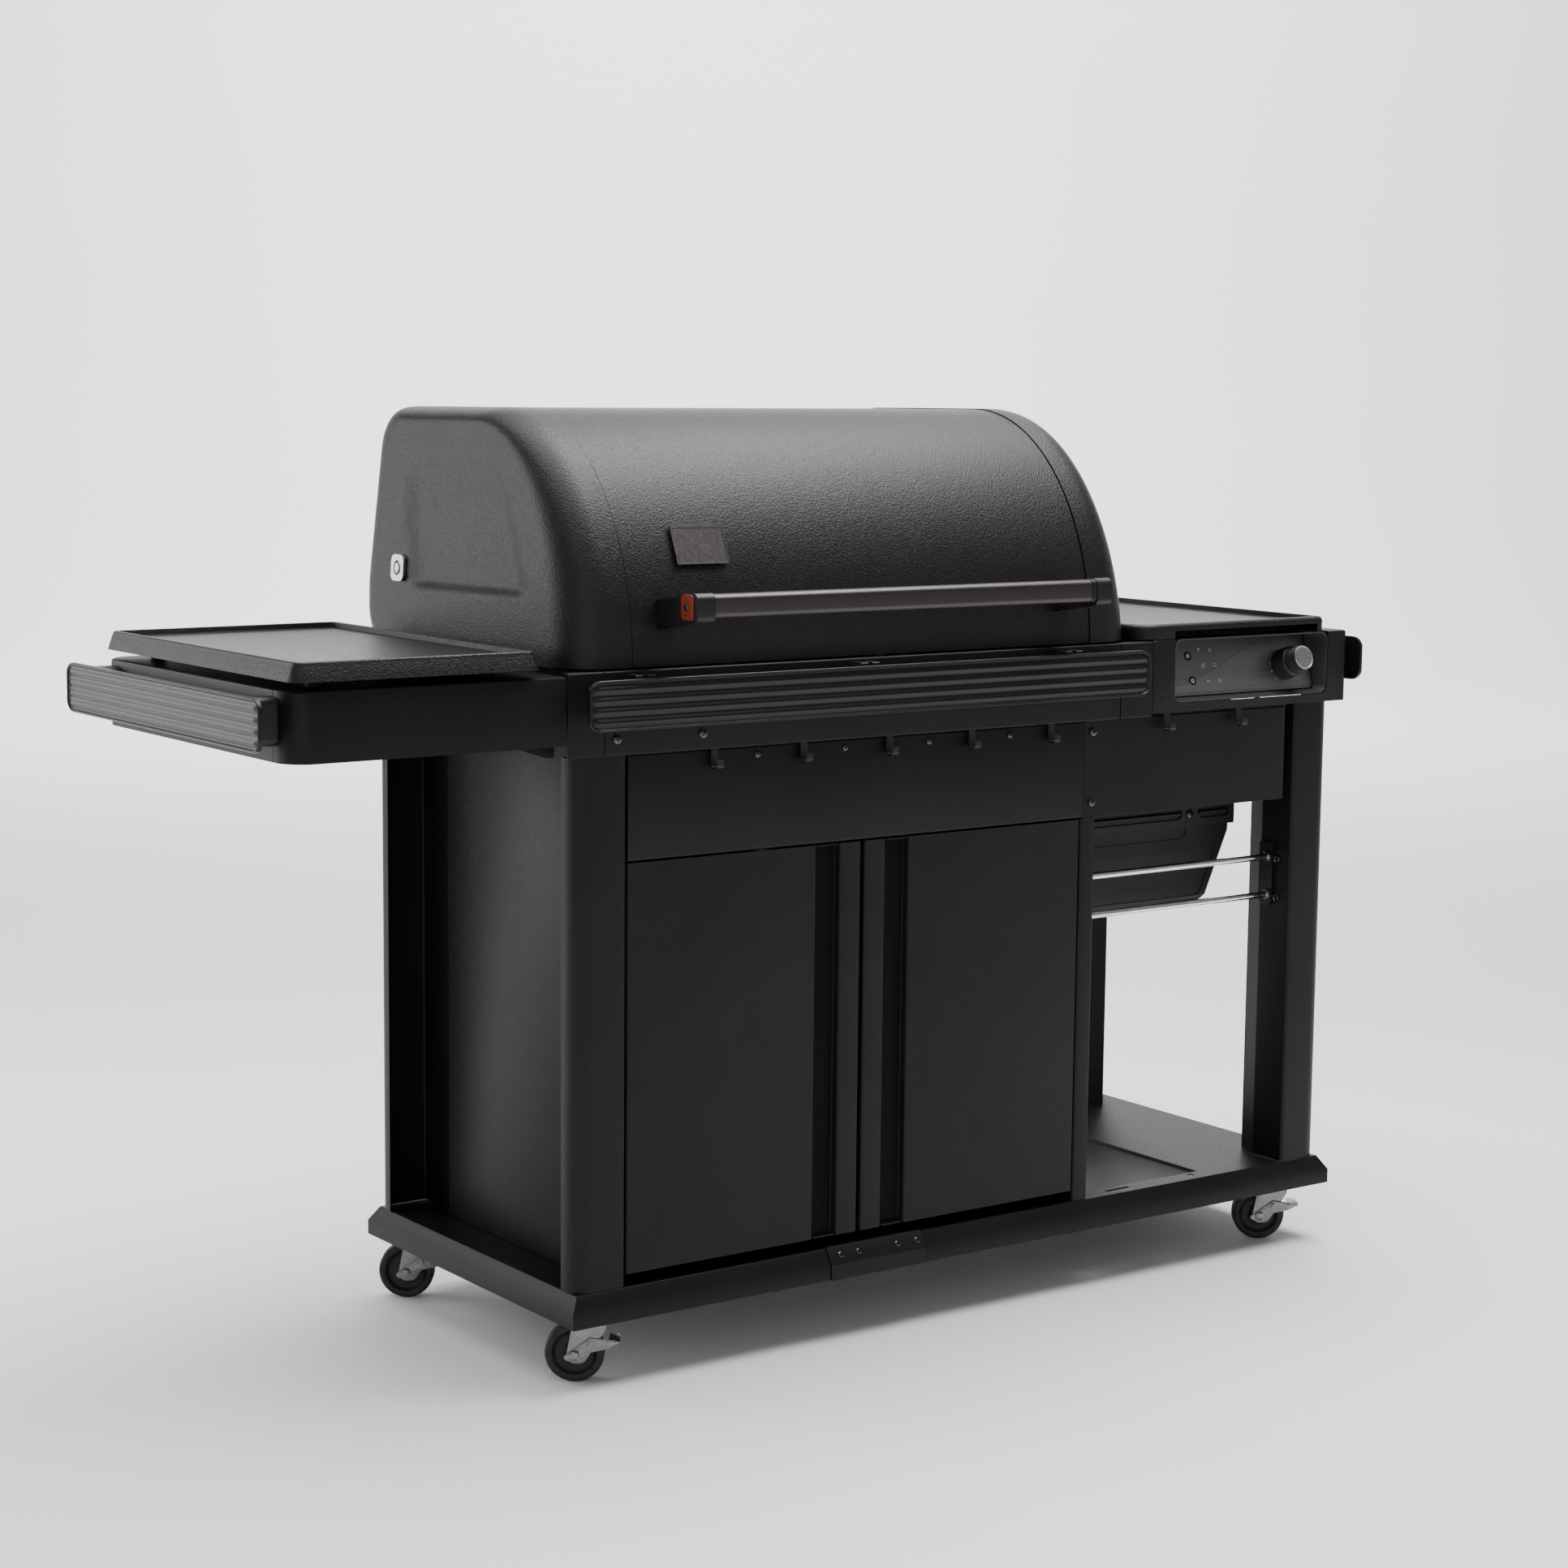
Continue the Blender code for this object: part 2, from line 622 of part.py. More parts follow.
TRAY = (-0.372, -0.051, 0.002, 0.522)
TRAY_HEIGHTS = (0.916, 0.939)
TRAY_FLARE = 0.007
FOOT_INSET = 0.045
FOOT_RADIUS = 0.010
shelf_tray = tray("shelf_tray", *TRAY, TRAY_HEIGHTS, TRAY_FLARE, [0.012] * 4, BLACK_PAINT)
foot_spots = [(x, y) for x in (TRAY[0] + FOOT_INSET, TRAY[1] - FOOT_INSET)
              for y in (TRAY[2] + FOOT_INSET, TRAY[3] - FOOT_INSET)]
for index, spot in enumerate(foot_spots):
    join(shelf_tray, cylinder("tray_foot_%d" % index, spot, FOOT_RADIUS, "Z", SHELF_TOP + GAP,
                              TRAY_HEIGHTS[1] - TRAY_SINK - BITE, BLACK_PAINT, 12))

# ---------------------------------------------------------------- hopper and controls
HOPPER_FRONT = 0.110
# Height, left, right and back of the hopper where its walls bend, from its mouth down.
hopper_levels = [
    (0.904, 0.956, 1.206, 0.505), (0.798, 0.956, 1.206, 0.505),
    (0.770, 0.911, 1.206, 0.505), (0.613, 0.911, 1.206, 0.480),
    (0.512, 0.911, 1.160, 0.420),
]
hopper_rings = []
for height, left, right, back in hopper_levels:
    outline = rounded_rect(left, right, HOPPER_FRONT, back, 0.006, 2)
    hopper_rings.append(at_height(outline, height))
hopper = loft("hopper", hopper_rings, PLASTIC)
HOPPER_WALL = 0.003
thicken(hopper, HOPPER_WALL, -1)

box_rings = []
for height, step in ((BOX_BOTTOM, 0.0), (BOX_TOP - TOP_EDGE, 0.0), (BOX_TOP, TOP_EDGE)):
    outline = rounded_rect(BOX_LEFT + step, BOX_RIGHT - step, BODY_FRONT + step,
                           BODY_BACK - step, [0.004, 0.008, 0.012, 0.004], 3)
    box_rings.append(at_height(outline, height))
control_box = loft("control_box", box_rings, BLACK_PAINT)
BOX_WALL = 0.0025
thicken(control_box, BOX_WALL, -1)
WINDOW = (0.990, 1.290)
WINDOW_BOTTOM = 0.820
WINDOW_BACK = 0.075             # how far back the window is cut through the top
FILL_HOLE = (0.965, 1.197, 0.135, 0.495)
INLET = (1.250, 0.862)          # middle of the mains socket on the back wall
INLET_SIZE = (0.030, 0.024)
INLET_DEPTH = 0.020
INLET_WALL = 0.003
join(control_box, *[hook("box_hook_%d" % index, x, BOX_BOTTOM, BOX_SHANK)
                    for index, x in enumerate(BOX_HOOKS)])


def inlet_box(name, margin, front, back):
    """A block behind the mains socket, larger than it by a margin all round."""
    half = [side / 2 + margin for side in INLET_SIZE]
    return box(name, (INLET[0] - half[0], front, INLET[1] - half[1]),
               (INLET[0] + half[0], back, INLET[1] + half[1]), PLASTIC)


join(control_box, inlet_box("inlet_shell", INLET_WALL, BODY_BACK - INLET_DEPTH,
                            BODY_BACK + 0.002))
cut(control_box,
    box("window_cut", (WINDOW[0], -0.02, WINDOW_BOTTOM), (WINDOW[1], WINDOW_BACK, 0.95),
        BLACK_PAINT),
    box("fill_cut", (FILL_HOLE[0], FILL_HOLE[2], 0.85), (FILL_HOLE[1], FILL_HOLE[3], 0.95),
        BLACK_PAINT),
    inlet_box("inlet_hollow", 0.0, BODY_BACK - INLET_DEPTH + INLET_WALL, BODY_BACK + 0.01))

PANEL_SHEET = 0.0018
PANEL_FOOT = Vector((0.0, 0.022, 0.8260))
PANEL_HEAD = Vector((0.0, 0.050, 0.9080))
PANEL_TILT = math.atan2(PANEL_HEAD.y - PANEL_FOOT.y, PANEL_HEAD.z - PANEL_FOOT.z)
PANEL_OUT = Vector((0.0, -math.cos(PANEL_TILT), math.sin(PANEL_TILT)))
PANEL_TURN = Matrix.Rotation(math.pi / 2 - PANEL_TILT, 4, "X")


def pocket_ring(left, right, low_y, high_y, low_z, high_z, radius):
    """A round-cornered outline on a plane that may lean back."""
    outline = rounded_rect(left, right, low_z, high_z, radius, 3)
    slope = (high_y - low_y) / (high_z - low_z)
    return [(x, low_y + (z - low_z) * slope, z) for x, z in outline]


PANEL_FACE = (WINDOW[0] + 0.006, WINDOW[1] - 0.009)
POCKET_FRONT = BODY_FRONT + 2 * GAP
in_wall = PANEL_SHEET + GAP
pocket = [
    pocket_ring(WINDOW[0] + in_wall, WINDOW[1] - in_wall, POCKET_FRONT, POCKET_FRONT,
                WINDOW_BOTTOM + in_wall, PANEL_HEAD.z, 0.012),
    pocket_ring(*PANEL_FACE, PANEL_FOOT.y, PANEL_HEAD.y, PANEL_FOOT.z,
                PANEL_HEAD.z - 0.001, 0.010),
]
control_panel = thicken(loft("control_panel", pocket, DARK_PANEL), PANEL_SHEET, 1)


def on_panel(x, height):
    """A point on the face of the leaning panel."""
    share = (height - PANEL_FOOT.z) / (PANEL_HEAD.z - PANEL_FOOT.z)
    spot = PANEL_FOOT.lerp(PANEL_HEAD, share)
    return Vector((x, spot.y, spot.z))


BUTTON_X = 1.0465
BUTTON_RADIUS = 0.0040
BUTTON_LENGTH = 0.0066
for name, height in (("button_upper", 0.8815), ("button_lower", 0.8475)):
    place = Matrix.Translation(on_panel(BUTTON_X, height)) @ PANEL_TURN
    button = cylinder(name, (0, 0), BUTTON_RADIUS, "Z", -BUTTON_LENGTH, 0.0, PLASTIC, 20)
    button.matrix_world = place @ button.matrix_world
    bore = cylinder(name + "_bore", (0, 0), BUTTON_RADIUS + GAP, "Z", -0.01, 0.01, PLASTIC, 20)
    bore.matrix_world = place @ bore.matrix_world
    cut(control_panel, bore)

KNOB_X = 1.228
KNOB_Z = 0.8615
KNOB_RADIUS = 0.0225
KNOB_HEIGHT = 0.046
KNOB_SEAT = 0.0004
CAP_RADIUS = 0.0180
COLLAR_RADIUS = 0.0220
COLLAR = (0.0200, 0.0255)
knob_profile = [
    (0.0, KNOB_HEIGHT), (CAP_RADIUS - 0.0015, KNOB_HEIGHT), (CAP_RADIUS, KNOB_HEIGHT - 0.0015),
    (CAP_RADIUS, COLLAR[1]), (COLLAR_RADIUS, COLLAR[1] - 0.0015),
    (COLLAR_RADIUS, COLLAR[0] + 0.0015), (KNOB_RADIUS, COLLAR[0]),
    (KNOB_RADIUS, KNOB_SEAT), (0.0, KNOB_SEAT),
]
knob = turned("knob", knob_profile, SILVER, 28)
knob.matrix_world = Matrix.Translation(on_panel(KNOB_X, KNOB_Z)) @ PANEL_TURN

HOPPER_LID = (0.925, 1.286, 0.007, 0.533)
HOPPER_LID_HEIGHTS = (BOX_TOP + 0.0005, 0.9320)
hopper_lid = tray("hopper_lid", *HOPPER_LID, HOPPER_LID_HEIGHTS, 0.0,
                  [0.040, 0.016, 0.014, 0.014], BLACK_PAINT)
# The lid's skirt steps up over the control panel.
SKIRT_NOTCH = (0.990, 1.268, 0.0110)
notch = box("skirt_notch", (SKIRT_NOTCH[0], HOPPER_LID[2] - SHEET, BOX_TOP - SHEET),
            (SKIRT_NOTCH[1], HOPPER_LID[2] + 2 * SHEET, BOX_TOP + SKIRT_NOTCH[2]), BLACK_PAINT)
cut(hopper_lid, notch)
HOPPER_HINGE = (1.1055, HOPPER_LID[3] + 0.0005, 0.9215)
hinge_empty("hopper_lid_hinge", HOPPER_HINGE, hopper_lid)

# ---------------------------------------------------------------- rods in the open bay
ROD_RADIUS = 0.0047
ROD_Y = 0.0565
ROD_HEIGHTS = (0.577, 0.521)
ROD_PLATE = 0.003
ROD_PLATE_Y = (0.0470, 0.0740)
ROD_PLATE_Z = (0.504, 0.598)
rods = [tube(name, [(POST_RIGHT + 0.002, ROD_Y, height), (BAY_RIGHT - 0.002, ROD_Y, height)],
             ROD_RADIUS, CHROME)
        for name, height in zip(("side_rods", "lower_rod"), ROD_HEIGHTS)]
side_rods = rods[0]
rod_plate_outline = rounded_rect(*ROD_PLATE_Y, *ROD_PLATE_Z, [0.0125, 0.0125, 0.002, 0.002])
for name, x in (("rod_plate_left", POST_RIGHT + GAP),
                ("rod_plate_right", BAY_RIGHT - GAP - ROD_PLATE)):
    join(side_rods, plate(name, rod_plate_outline, "X", x, x + ROD_PLATE, CHROME))
join(side_rods, rods[1])

# ---------------------------------------------------------------- cooking chamber
BARREL = (0.020, 0.900, 0.022, 0.545)
BARREL_TOP = 0.9085
LEDGE = BEAM_BOTTOM + GAP


def rect(left, right, front, back):
    return [(left, front), (right, front), (right, back), (left, back)]


SUMP_TOP = (0.105, 0.815, 0.125, 0.425)     # the sunk part of the chamber's floor
SUMP_FLOOR = (0.160, 0.760, 0.180, 0.380)
SUMP_Z = 0.700
barrel_rings = [
    at_height(rect(*BARREL), BARREL_TOP),
    at_height(rect(*BARREL), LEDGE),
    at_height(rect(*SUMP_TOP), LEDGE),
    at_height(rect(*SUMP_FLOOR), SUMP_Z),
]
barrel = thicken(loft("barrel", barrel_rings, BLACK_PAINT), SHEET, -1)
FIRE = (0.460, 0.280)
FIRE_RADIUS = 0.055
DRAIN = (0.270, 0.280)
DRAIN_RADIUS = 0.016
DUCT = (0.250, 0.670)
DUCT_Z = (0.700, 0.885)
SMOKE_Z = (0.830, 0.868)        # the slot in the chamber's back wall
SLOT_INSET = 0.02
cut(barrel,
    cylinder("fire_cut", FIRE, FIRE_RADIUS + 0.001, "Z", 0.66, 0.74, STEEL),
    cylinder("drain_cut", DRAIN, DRAIN_RADIUS, "Z", 0.68, 0.72, STEEL, 20),
    box("smoke_cut", (DUCT[0] + SLOT_INSET, 0.53, SMOKE_Z[0]),
        (DUCT[1] - SLOT_INSET, 0.56, SMOKE_Z[1]), STEEL))

AUGER_Z = 0.640
AUGER_BORE = 0.0205
TUBE_WALL = 0.0025
POT_BOTTOM = 0.600
POT_TOP = 0.708
POT_WALL = 0.003
POT_RIM = 0.008                 # the rim hangs on the edge of the chamber's floor
pot_profile = [
    (0.0, POT_TOP), (FIRE_RADIUS + POT_RIM, POT_TOP), (FIRE_RADIUS + POT_RIM, POT_TOP - 0.0025),
    (FIRE_RADIUS, POT_TOP - 0.0055), (FIRE_RADIUS, POT_BOTTOM), (0.0, POT_BOTTOM),
]
pot_inner = [(0.0, 0.72), (FIRE_RADIUS - POT_WALL, 0.72),
             (FIRE_RADIUS - POT_WALL, POT_BOTTOM + POT_WALL), (0.0, POT_BOTTOM + POT_WALL)]
firepot = turned("firepot", pot_profile, STEEL, 24)
pot_hollow = turned("pot_hollow", pot_inner, STEEL, 24)
for piece in (firepot, pot_hollow):
    piece.location = (*FIRE, 0.0)
cut(firepot, pot_hollow,
    cylinder("feed_cut", (FIRE[1], AUGER_Z), AUGER_BORE, "X", FIRE[0] + 0.02, FIRE[0] + 0.08,
             STEEL, 24))

TUBE_START = FIRE[0] + FIRE_RADIUS + 0.001
TUBE_END = 0.985
FEED_SLOT = (0.925, 0.975)      # where pellets drop from the hopper into the tube
FEED_HALF = 0.014
auger_tube = cylinder("auger_tube", (FIRE[1], AUGER_Z), AUGER_BORE + TUBE_WALL, "X",
                      TUBE_START, TUBE_END, STEEL, 24)
cut(auger_tube,
    cylinder("tube_bore", (FIRE[1], AUGER_Z), AUGER_BORE, "X", TUBE_START - 0.01,
             TUBE_END + 0.01, STEEL, 24),
    box("feed_slot", (FEED_SLOT[0], FIRE[1] - FEED_HALF, AUGER_Z),
        (FEED_SLOT[1], FIRE[1] + FEED_HALF, 0.70), STEEL))
TUBE_HOLE = AUGER_BORE + TUBE_WALL + GAP
cut(hopper, cylinder("hopper_bore", (FIRE[1], AUGER_Z), TUBE_HOLE, "X", 0.90, 0.93, STEEL, 24))
cut(side_panel_right, cylinder("panel_bore", (FIRE[1], AUGER_Z), TUBE_HOLE, "X", 0.84, 0.87,
                               STEEL, 24))

FLIGHT_PITCH = 0.056
FLIGHT_STEPS = 10
FLIGHT_RADIUS = 0.0180
SHAFT_RADIUS = 0.006
AUGER_START = TUBE_START + 0.004
AUGER_END = 0.975
turns = int((AUGER_END - AUGER_START) / FLIGHT_PITCH)
flight_rings = []
for step in range(turns * FLIGHT_STEPS + 1):
    angle = math.tau * step / FLIGHT_STEPS
    x = AUGER_START + FLIGHT_PITCH * step / FLIGHT_STEPS
    ring = []
    root = SHAFT_RADIUS - 0.002
    for radius, side in ((root, 0.003), (FLIGHT_RADIUS, 0.002), (FLIGHT_RADIUS, 0.0),
                         (root, -0.001)):
        ring.append((x + side, radius * math.cos(angle), radius * math.sin(angle)))
    flight_rings.append(ring)
auger = cylinder("auger", (0.0, 0.0), SHAFT_RADIUS, "X", AUGER_START - 0.002,
                 AUGER_END + 0.004, STEEL, 12)
flight = loft("auger_flight", flight_rings, STEEL, first=True, last=True)
for piece in (auger, flight):
    piece.matrix_world = Matrix.Translation((0.0, FIRE[1], AUGER_Z)) @ piece.matrix_world
join(auger, flight)

DRIP_X = (0.050, 0.870)
DRIP_Y = (0.075, 0.490)
DRIP_TOP = 0.850
DRIP_FLOOR = (0.828, 0.814)     # it slopes down towards the back
drip_path = [(DRIP_Y[0], DRIP_TOP), (DRIP_Y[0], DRIP_FLOOR[0]), (DRIP_Y[1], DRIP_FLOOR[1]),
             (DRIP_Y[1], DRIP_TOP)]
drip_tray = folded("drip_tray", fillet(drip_path, 0.004, 2), "X", *DRIP_X, STEEL, 0.0015)

GRATE = (0.030, 0.890, 0.032, 0.535)
GRATE_Z = (0.876, 0.882)
GRATE_BAR = 0.007
GRATE_EDGE = 0.012
SLOT_COUNT = 20
slots = []
pitch = (GRATE[1] - GRATE[0] - GRATE_BAR) / SLOT_COUNT
for index in range(SLOT_COUNT):
    start = GRATE[0] + GRATE_BAR + index * pitch
    slots.append(rect(start, start + pitch - GRATE_BAR, GRATE[2] + GRATE_EDGE,
                      GRATE[3] - GRATE_EDGE))
main_grate = plate("main_grate", rect(*GRATE), "Z", *GRATE_Z, STEEL, slots)

KEG_TOP = 0.6982
KEG_BOTTOM = 0.535
KEG_RADII = (0.074, 0.070)
KEG_WALL = 0.002
keg_profile = [(0.0, KEG_TOP), (KEG_RADII[0] + 0.004, KEG_TOP),
               (KEG_RADII[0] + 0.004, KEG_TOP - 0.008), (KEG_RADII[0], KEG_TOP - 0.010),
               (KEG_RADII[1], KEG_BOTTOM), (0.0, KEG_BOTTOM)]
keg_inner = [(0.0, 0.71), (KEG_RADII[0] - KEG_WALL, 0.71),
             (KEG_RADII[1] - KEG_WALL, KEG_BOTTOM + KEG_WALL), (0.0, KEG_BOTTOM + KEG_WALL)]
grease_keg = turned("grease_keg", keg_profile, STEEL, 24)
keg_hollow = turned("keg_hollow", keg_inner, STEEL, 24)
for piece in (grease_keg, keg_hollow):
    piece.location = (*DRAIN, 0.0)
cut(grease_keg, keg_hollow)

DUCT_FRONT = BARREL[3] + GAP
OUTLET_Y = (0.558, 0.588)
duct_rings = [[(x, y, z) for x, z in rect(*DUCT, *DUCT_Z)] for y in (DUCT_FRONT, REAR_END)]
exhaust_duct = thicken(loft("exhaust_duct", duct_rings, BLACK_PAINT), SHEET, -1)
cut(exhaust_duct, box("outlet_cut", (DUCT[0] + SLOT_INSET, OUTLET_Y[0], DUCT_Z[0] - 0.01),
                      (DUCT[1] - SLOT_INSET, OUTLET_Y[1], DUCT_Z[0] + 0.01), STEEL))

# ---------------------------------------------------------------- lid
HINGE_ROD = 0.004
HINGE_SPAN = (0.090, 0.830)
HINGE_LEAVES = (0.105, 0.460, 0.815)
LEAF_HALF = 0.0015
hinge_rod = cylinder("hinge_rod", (HINGE_Y, HINGE_Z), HINGE_ROD, "X", *HINGE_SPAN, STEEL, 16)
for index, x in enumerate(HINGE_LEAVES):
    join(hinge_rod, box("hinge_leaf_%d" % index,
                        (x - LEAF_HALF, DUCT_FRONT, HINGE_Z - 0.0065),
                        (x + LEAF_HALF, HINGE_Y, HINGE_Z + 0.0062), STEEL))


FRONT_STEPS = 11


def lid_profile():
    """Outer line of the lid from its front edge, over the top, to its back edge."""
    across = LID_CREST - LID_FRONT
    rise = LID_TOP - LID_BOTTOM
    front = []
    for step in range(FRONT_STEPS + 1):
        angle = math.pi / 2 * step / FRONT_STEPS
        front.append(Vector((LID_CREST - across * math.cos(angle),
                             LID_BOTTOM + rise * math.sin(angle))))
    back = [front[-1], (LID_REAR - 0.027, LID_TOP - 0.002), (LID_REAR, 0.995),
            (LID_REAR - 0.006, LID_BOTTOM)]
    return front[:-1] + fillet(back, [0, 0.055, 0.120, 0], 4)


PROFILE = lid_profile()
lid_shell = loft("lid_shell", [[(x, y, z) for y, z in PROFILE] for x in LID_SEAMS],
                 BLACK_PAINT, last=False, closed=False)
thicken(lid_shell, SHEET, -1)

KNUCKLE_RADIUS = 0.008
KNUCKLE_HALF = 0.010
ARM_Y = (0.5652, 0.5698)
ARM_Z = (0.9072, 0.955)
for index, x in enumerate((0.145, 0.775)):
    knuckle = plate("knuckle_%d" % index, circle((HINGE_Y, HINGE_Z), KNUCKLE_RADIUS, 16), "X",
                    x - KNUCKLE_HALF, x + KNUCKLE_HALF, BLACK_PAINT,
                    [circle((HINGE_Y, HINGE_Z), HINGE_ROD + GAP, 12)])
    arm = box("knuckle_arm_%d" % index, (x - KNUCKLE_HALF + 0.001, ARM_Y[0], ARM_Z[0]),
              (x + KNUCKLE_HALF - 0.001, ARM_Y[1], ARM_Z[1]), BLACK_PAINT)
    join(lid_shell, arm, knuckle)

CAP_ROUND = 0.048               # how far the rounded edge runs in from a lid's end
CAP_PROUD = 1.004               # the end caps stand a little proud of the middle
CAP_NARROW = 0.205              # how far the closed end is drawn in, front and back
CAP_LOWER = 0.062               # and how far it is drawn down
CAP_SPREAD = 0.012              # how far an end's foot stands outside its middle
CAP_LEAN = 0.019                # and how far its top leans back in from there
CAP_STEPS = 5
CAP_SLOPE = CAP_LEAN / (LID_TOP - LID_BOTTOM)


def lid_cap(name, seam, end):
    """An end of the lid: the profile drawn in along a quarter turn, then closed."""
    toward = math.copysign(1.0, end - seam)
    middle = (LID_FRONT + LID_REAR) / 2
    stations = [(seam, 0.0)]
    for step in range(CAP_STEPS + 1):
        angle = math.pi / 2 * step / CAP_STEPS
        x = end - toward * CAP_ROUND * (1 - math.sin(angle))
        stations.append((x, 1 - math.cos(angle)))
    rings = []
    for x, draw in stations:
        wide = CAP_PROUD * (1 - CAP_NARROW * draw)
        tall = CAP_PROUD * (1 - CAP_LOWER * draw)
        share = (x - seam) / (end - seam)
        ring = []
        for y, z in PROFILE:
            height = (z - LID_BOTTOM) * tall
            slant = toward * share * (CAP_SPREAD - CAP_SLOPE * height)
            ring.append((x + slant, middle + (y - middle) * wide, LID_BOTTOM + height))
        rings.append(ring)
    return thicken(loft(name, rings, BLACK_PAINT, closed=False), SHEET, -1)


lid_end_left = lid_cap("lid_end_left", LID_SEAMS[0] - GAP, LID_LEFT)
lid_end_right = lid_cap("lid_end_right", LID_SEAMS[1] + GAP, LID_RIGHT)

HANDLE_Z = (0.9710, 1.0080)
HANDLE_CAPS = ((0.1285, 0.1540), (0.7710, 0.7965))
CAP_BACK = (0.0080, 0.0138)     # where a cap ends, low and high, just short of the lid
CAP_DROP = 0.0145               # how much lower a cap is at the lid than at the grip
cap_outline = [(FRONT_END, HANDLE_Z[0]), (CAP_BACK[0], HANDLE_Z[0] - CAP_DROP),
               (CAP_BACK[1], HANDLE_Z[1] - CAP_DROP), (FRONT_END, HANDLE_Z[1])]
cap_outline = fillet(cap_outline, [0.008, 0, 0, 0.008], 4, closed=True)
handle_cap_left = plate("handle_cap_left", cap_outline, "X", *HANDLE_CAPS[0], SATIN_BLACK)
handle_cap_right = plate("handle_cap_right", cap_outline, "X", *HANDLE_CAPS[1], SATIN_BLACK)
GRIP_DEPTH = 0.025
GRIP_INSET = 0.0035
grip_outline = rounded_rect(FRONT_END + 0.002, FRONT_END + 0.002 + GRIP_DEPTH,
                            HANDLE_Z[0] + GRIP_INSET, HANDLE_Z[1] - GRIP_INSET, 0.008, 4)
lid_handle = plate("lid_handle", grip_outline, "X", HANDLE_CAPS[0][1] + GAP,
                   HANDLE_CAPS[1][0] - GAP, HANDLE_METAL)
ACCENT_THICK = 0.0020
accent_outline = rounded_rect(-0.069, -0.043, 0.9730, 1.0045, 0.006, 3)
handle_accent = plate("handle_accent", accent_outline, "X",
                      HANDLE_CAPS[0][0] - GAP - ACCENT_THICK,
                      HANDLE_CAPS[0][0] - GAP, ACCENT)

BADGE = (0.079, 0.0535, 0.0022)
BADGE_X = 0.2050
BADGE_LOW = 1.0335
BADGE_HIGH = 1.0835
BADGE_STAND = 0.0036            # its middle from the chord of the lid behind it


def lid_front_at(height):
    """How far back the lid's front curve is at a height."""
    share = (height - LID_BOTTOM) / (LID_TOP - LID_BOTTOM)
    return LID_CREST - (LID_CREST - LID_FRONT) * math.sqrt(1 - share ** 2)


badge_low = Vector((BADGE_X, lid_front_at(BADGE_LOW), BADGE_LOW))
badge_high = Vector((BADGE_X, lid_front_at(BADGE_HIGH), BADGE_HIGH))
lean = math.atan2(badge_high.y - badge_low.y, BADGE_HIGH - BADGE_LOW)
badge_out = Vector((0.0, -math.cos(lean), math.sin(lean)))
lid_badge = box("lid_badge", [-side / 2 for side in BADGE], [side / 2 for side in BADGE],
                SATIN_BLACK, 0.0006)
lid_badge.location = (badge_low + badge_high) / 2 + badge_out * BADGE_STAND
lid_badge.rotation_euler = (math.pi / 2 - lean, 0.0, 0.0)

PORT_THICK = 0.004
PORT_PLACE = (0.447, 1.013)
PORT_HALF = (0.017, 0.018)
port_outline = rounded_rect(-PORT_HALF[0], PORT_HALF[0], -PORT_HALF[1], PORT_HALF[1], 0.008, 4)
probe_port = plate("probe_port", port_outline, "X", -2 * GAP - PORT_THICK, -2 * GAP, SILVER)
port_face = LID_LEFT - CAP_SPREAD + CAP_SLOPE * (PORT_PLACE[1] - LID_BOTTOM)
port_turn = Matrix.Rotation(math.atan(CAP_SLOPE), 4, "Y")
port_place = Matrix.Translation((port_face, *PORT_PLACE)) @ port_turn
probe_port.matrix_world = port_place @ probe_port.matrix_world

LID_MIDDLE = sum(LID_SEAMS) / 2
hinge_empty("lid_hinge", (LID_MIDDLE, HINGE_Y, HINGE_Z), lid_shell, lid_end_left, lid_end_right,
            lid_handle, handle_cap_left, handle_cap_right, handle_accent, lid_badge,
            probe_port)

# ---------------------------------------------------------------- cabinet doors
CHANNEL_WIDTH = 0.041           # the finger channel, and how it narrows towards its floor
CHANNEL_DEPTH = 0.010
CHANNEL_SLOPE = 0.002
LIP_WIDTH = 0.033
DOOR_LEFT = (CABINET_LEFT, 0.4500)
DOOR_RIGHT = (0.4560, 0.8270)
DOOR_PIVOT_Y = 0.0165
DOOR_PIVOT_IN = 0.0034


def door(name, hinge_side, free_side):
    """A hemmed sheet door with a full-height finger channel near its free edge."""
    step = math.copysign(1.0, free_side - hinge_side)
    half = SHEET / 2
    back = FACE_Y + DOOR_DEPTH
    lip = free_side - step * LIP_WIDTH
    channel = lip - step * CHANNEL_WIDTH
    path = [(hinge_side + step * half, back), (hinge_side + step * half, SHEET_FACE),
            (channel, SHEET_FACE),
            (channel + step * CHANNEL_SLOPE, SHEET_FACE + CHANNEL_DEPTH),
            (lip - step * CHANNEL_SLOPE, SHEET_FACE + CHANNEL_DEPTH), (lip, SHEET_FACE),
            (free_side - step * half, SHEET_FACE), (free_side - step * half, back)]
    return folded(name, fillet(path, 0.002, 2), "Z", DOOR_BOTTOM, DOOR_TOP, BLACK_PAINT)


door_left = door("door_left", *DOOR_LEFT)
door_right = door("door_right", *reversed(DOOR_RIGHT))
door_middle = (DOOR_BOTTOM + DOOR_TOP) / 2
hinge_empty("door_left_hinge", (DOOR_LEFT[0] + DOOR_PIVOT_IN, DOOR_PIVOT_Y, door_middle),
            door_left)
hinge_empty("door_right_hinge", (DOOR_RIGHT[1] - DOOR_PIVOT_IN, DOOR_PIVOT_Y, door_middle),
            door_right)

# ---------------------------------------------------------------- casters
# A caster is drawn with its swivel axis on local Z and its wheel trailing along +X.
FORK_HALF = 0.0165
FORK_SHEET = 0.0025
AXLE_RADIUS = 0.004
WHEEL_HALF = 0.0125
CROWN_RADIUS = 0.023
CROWN_BOTTOM = 0.0855


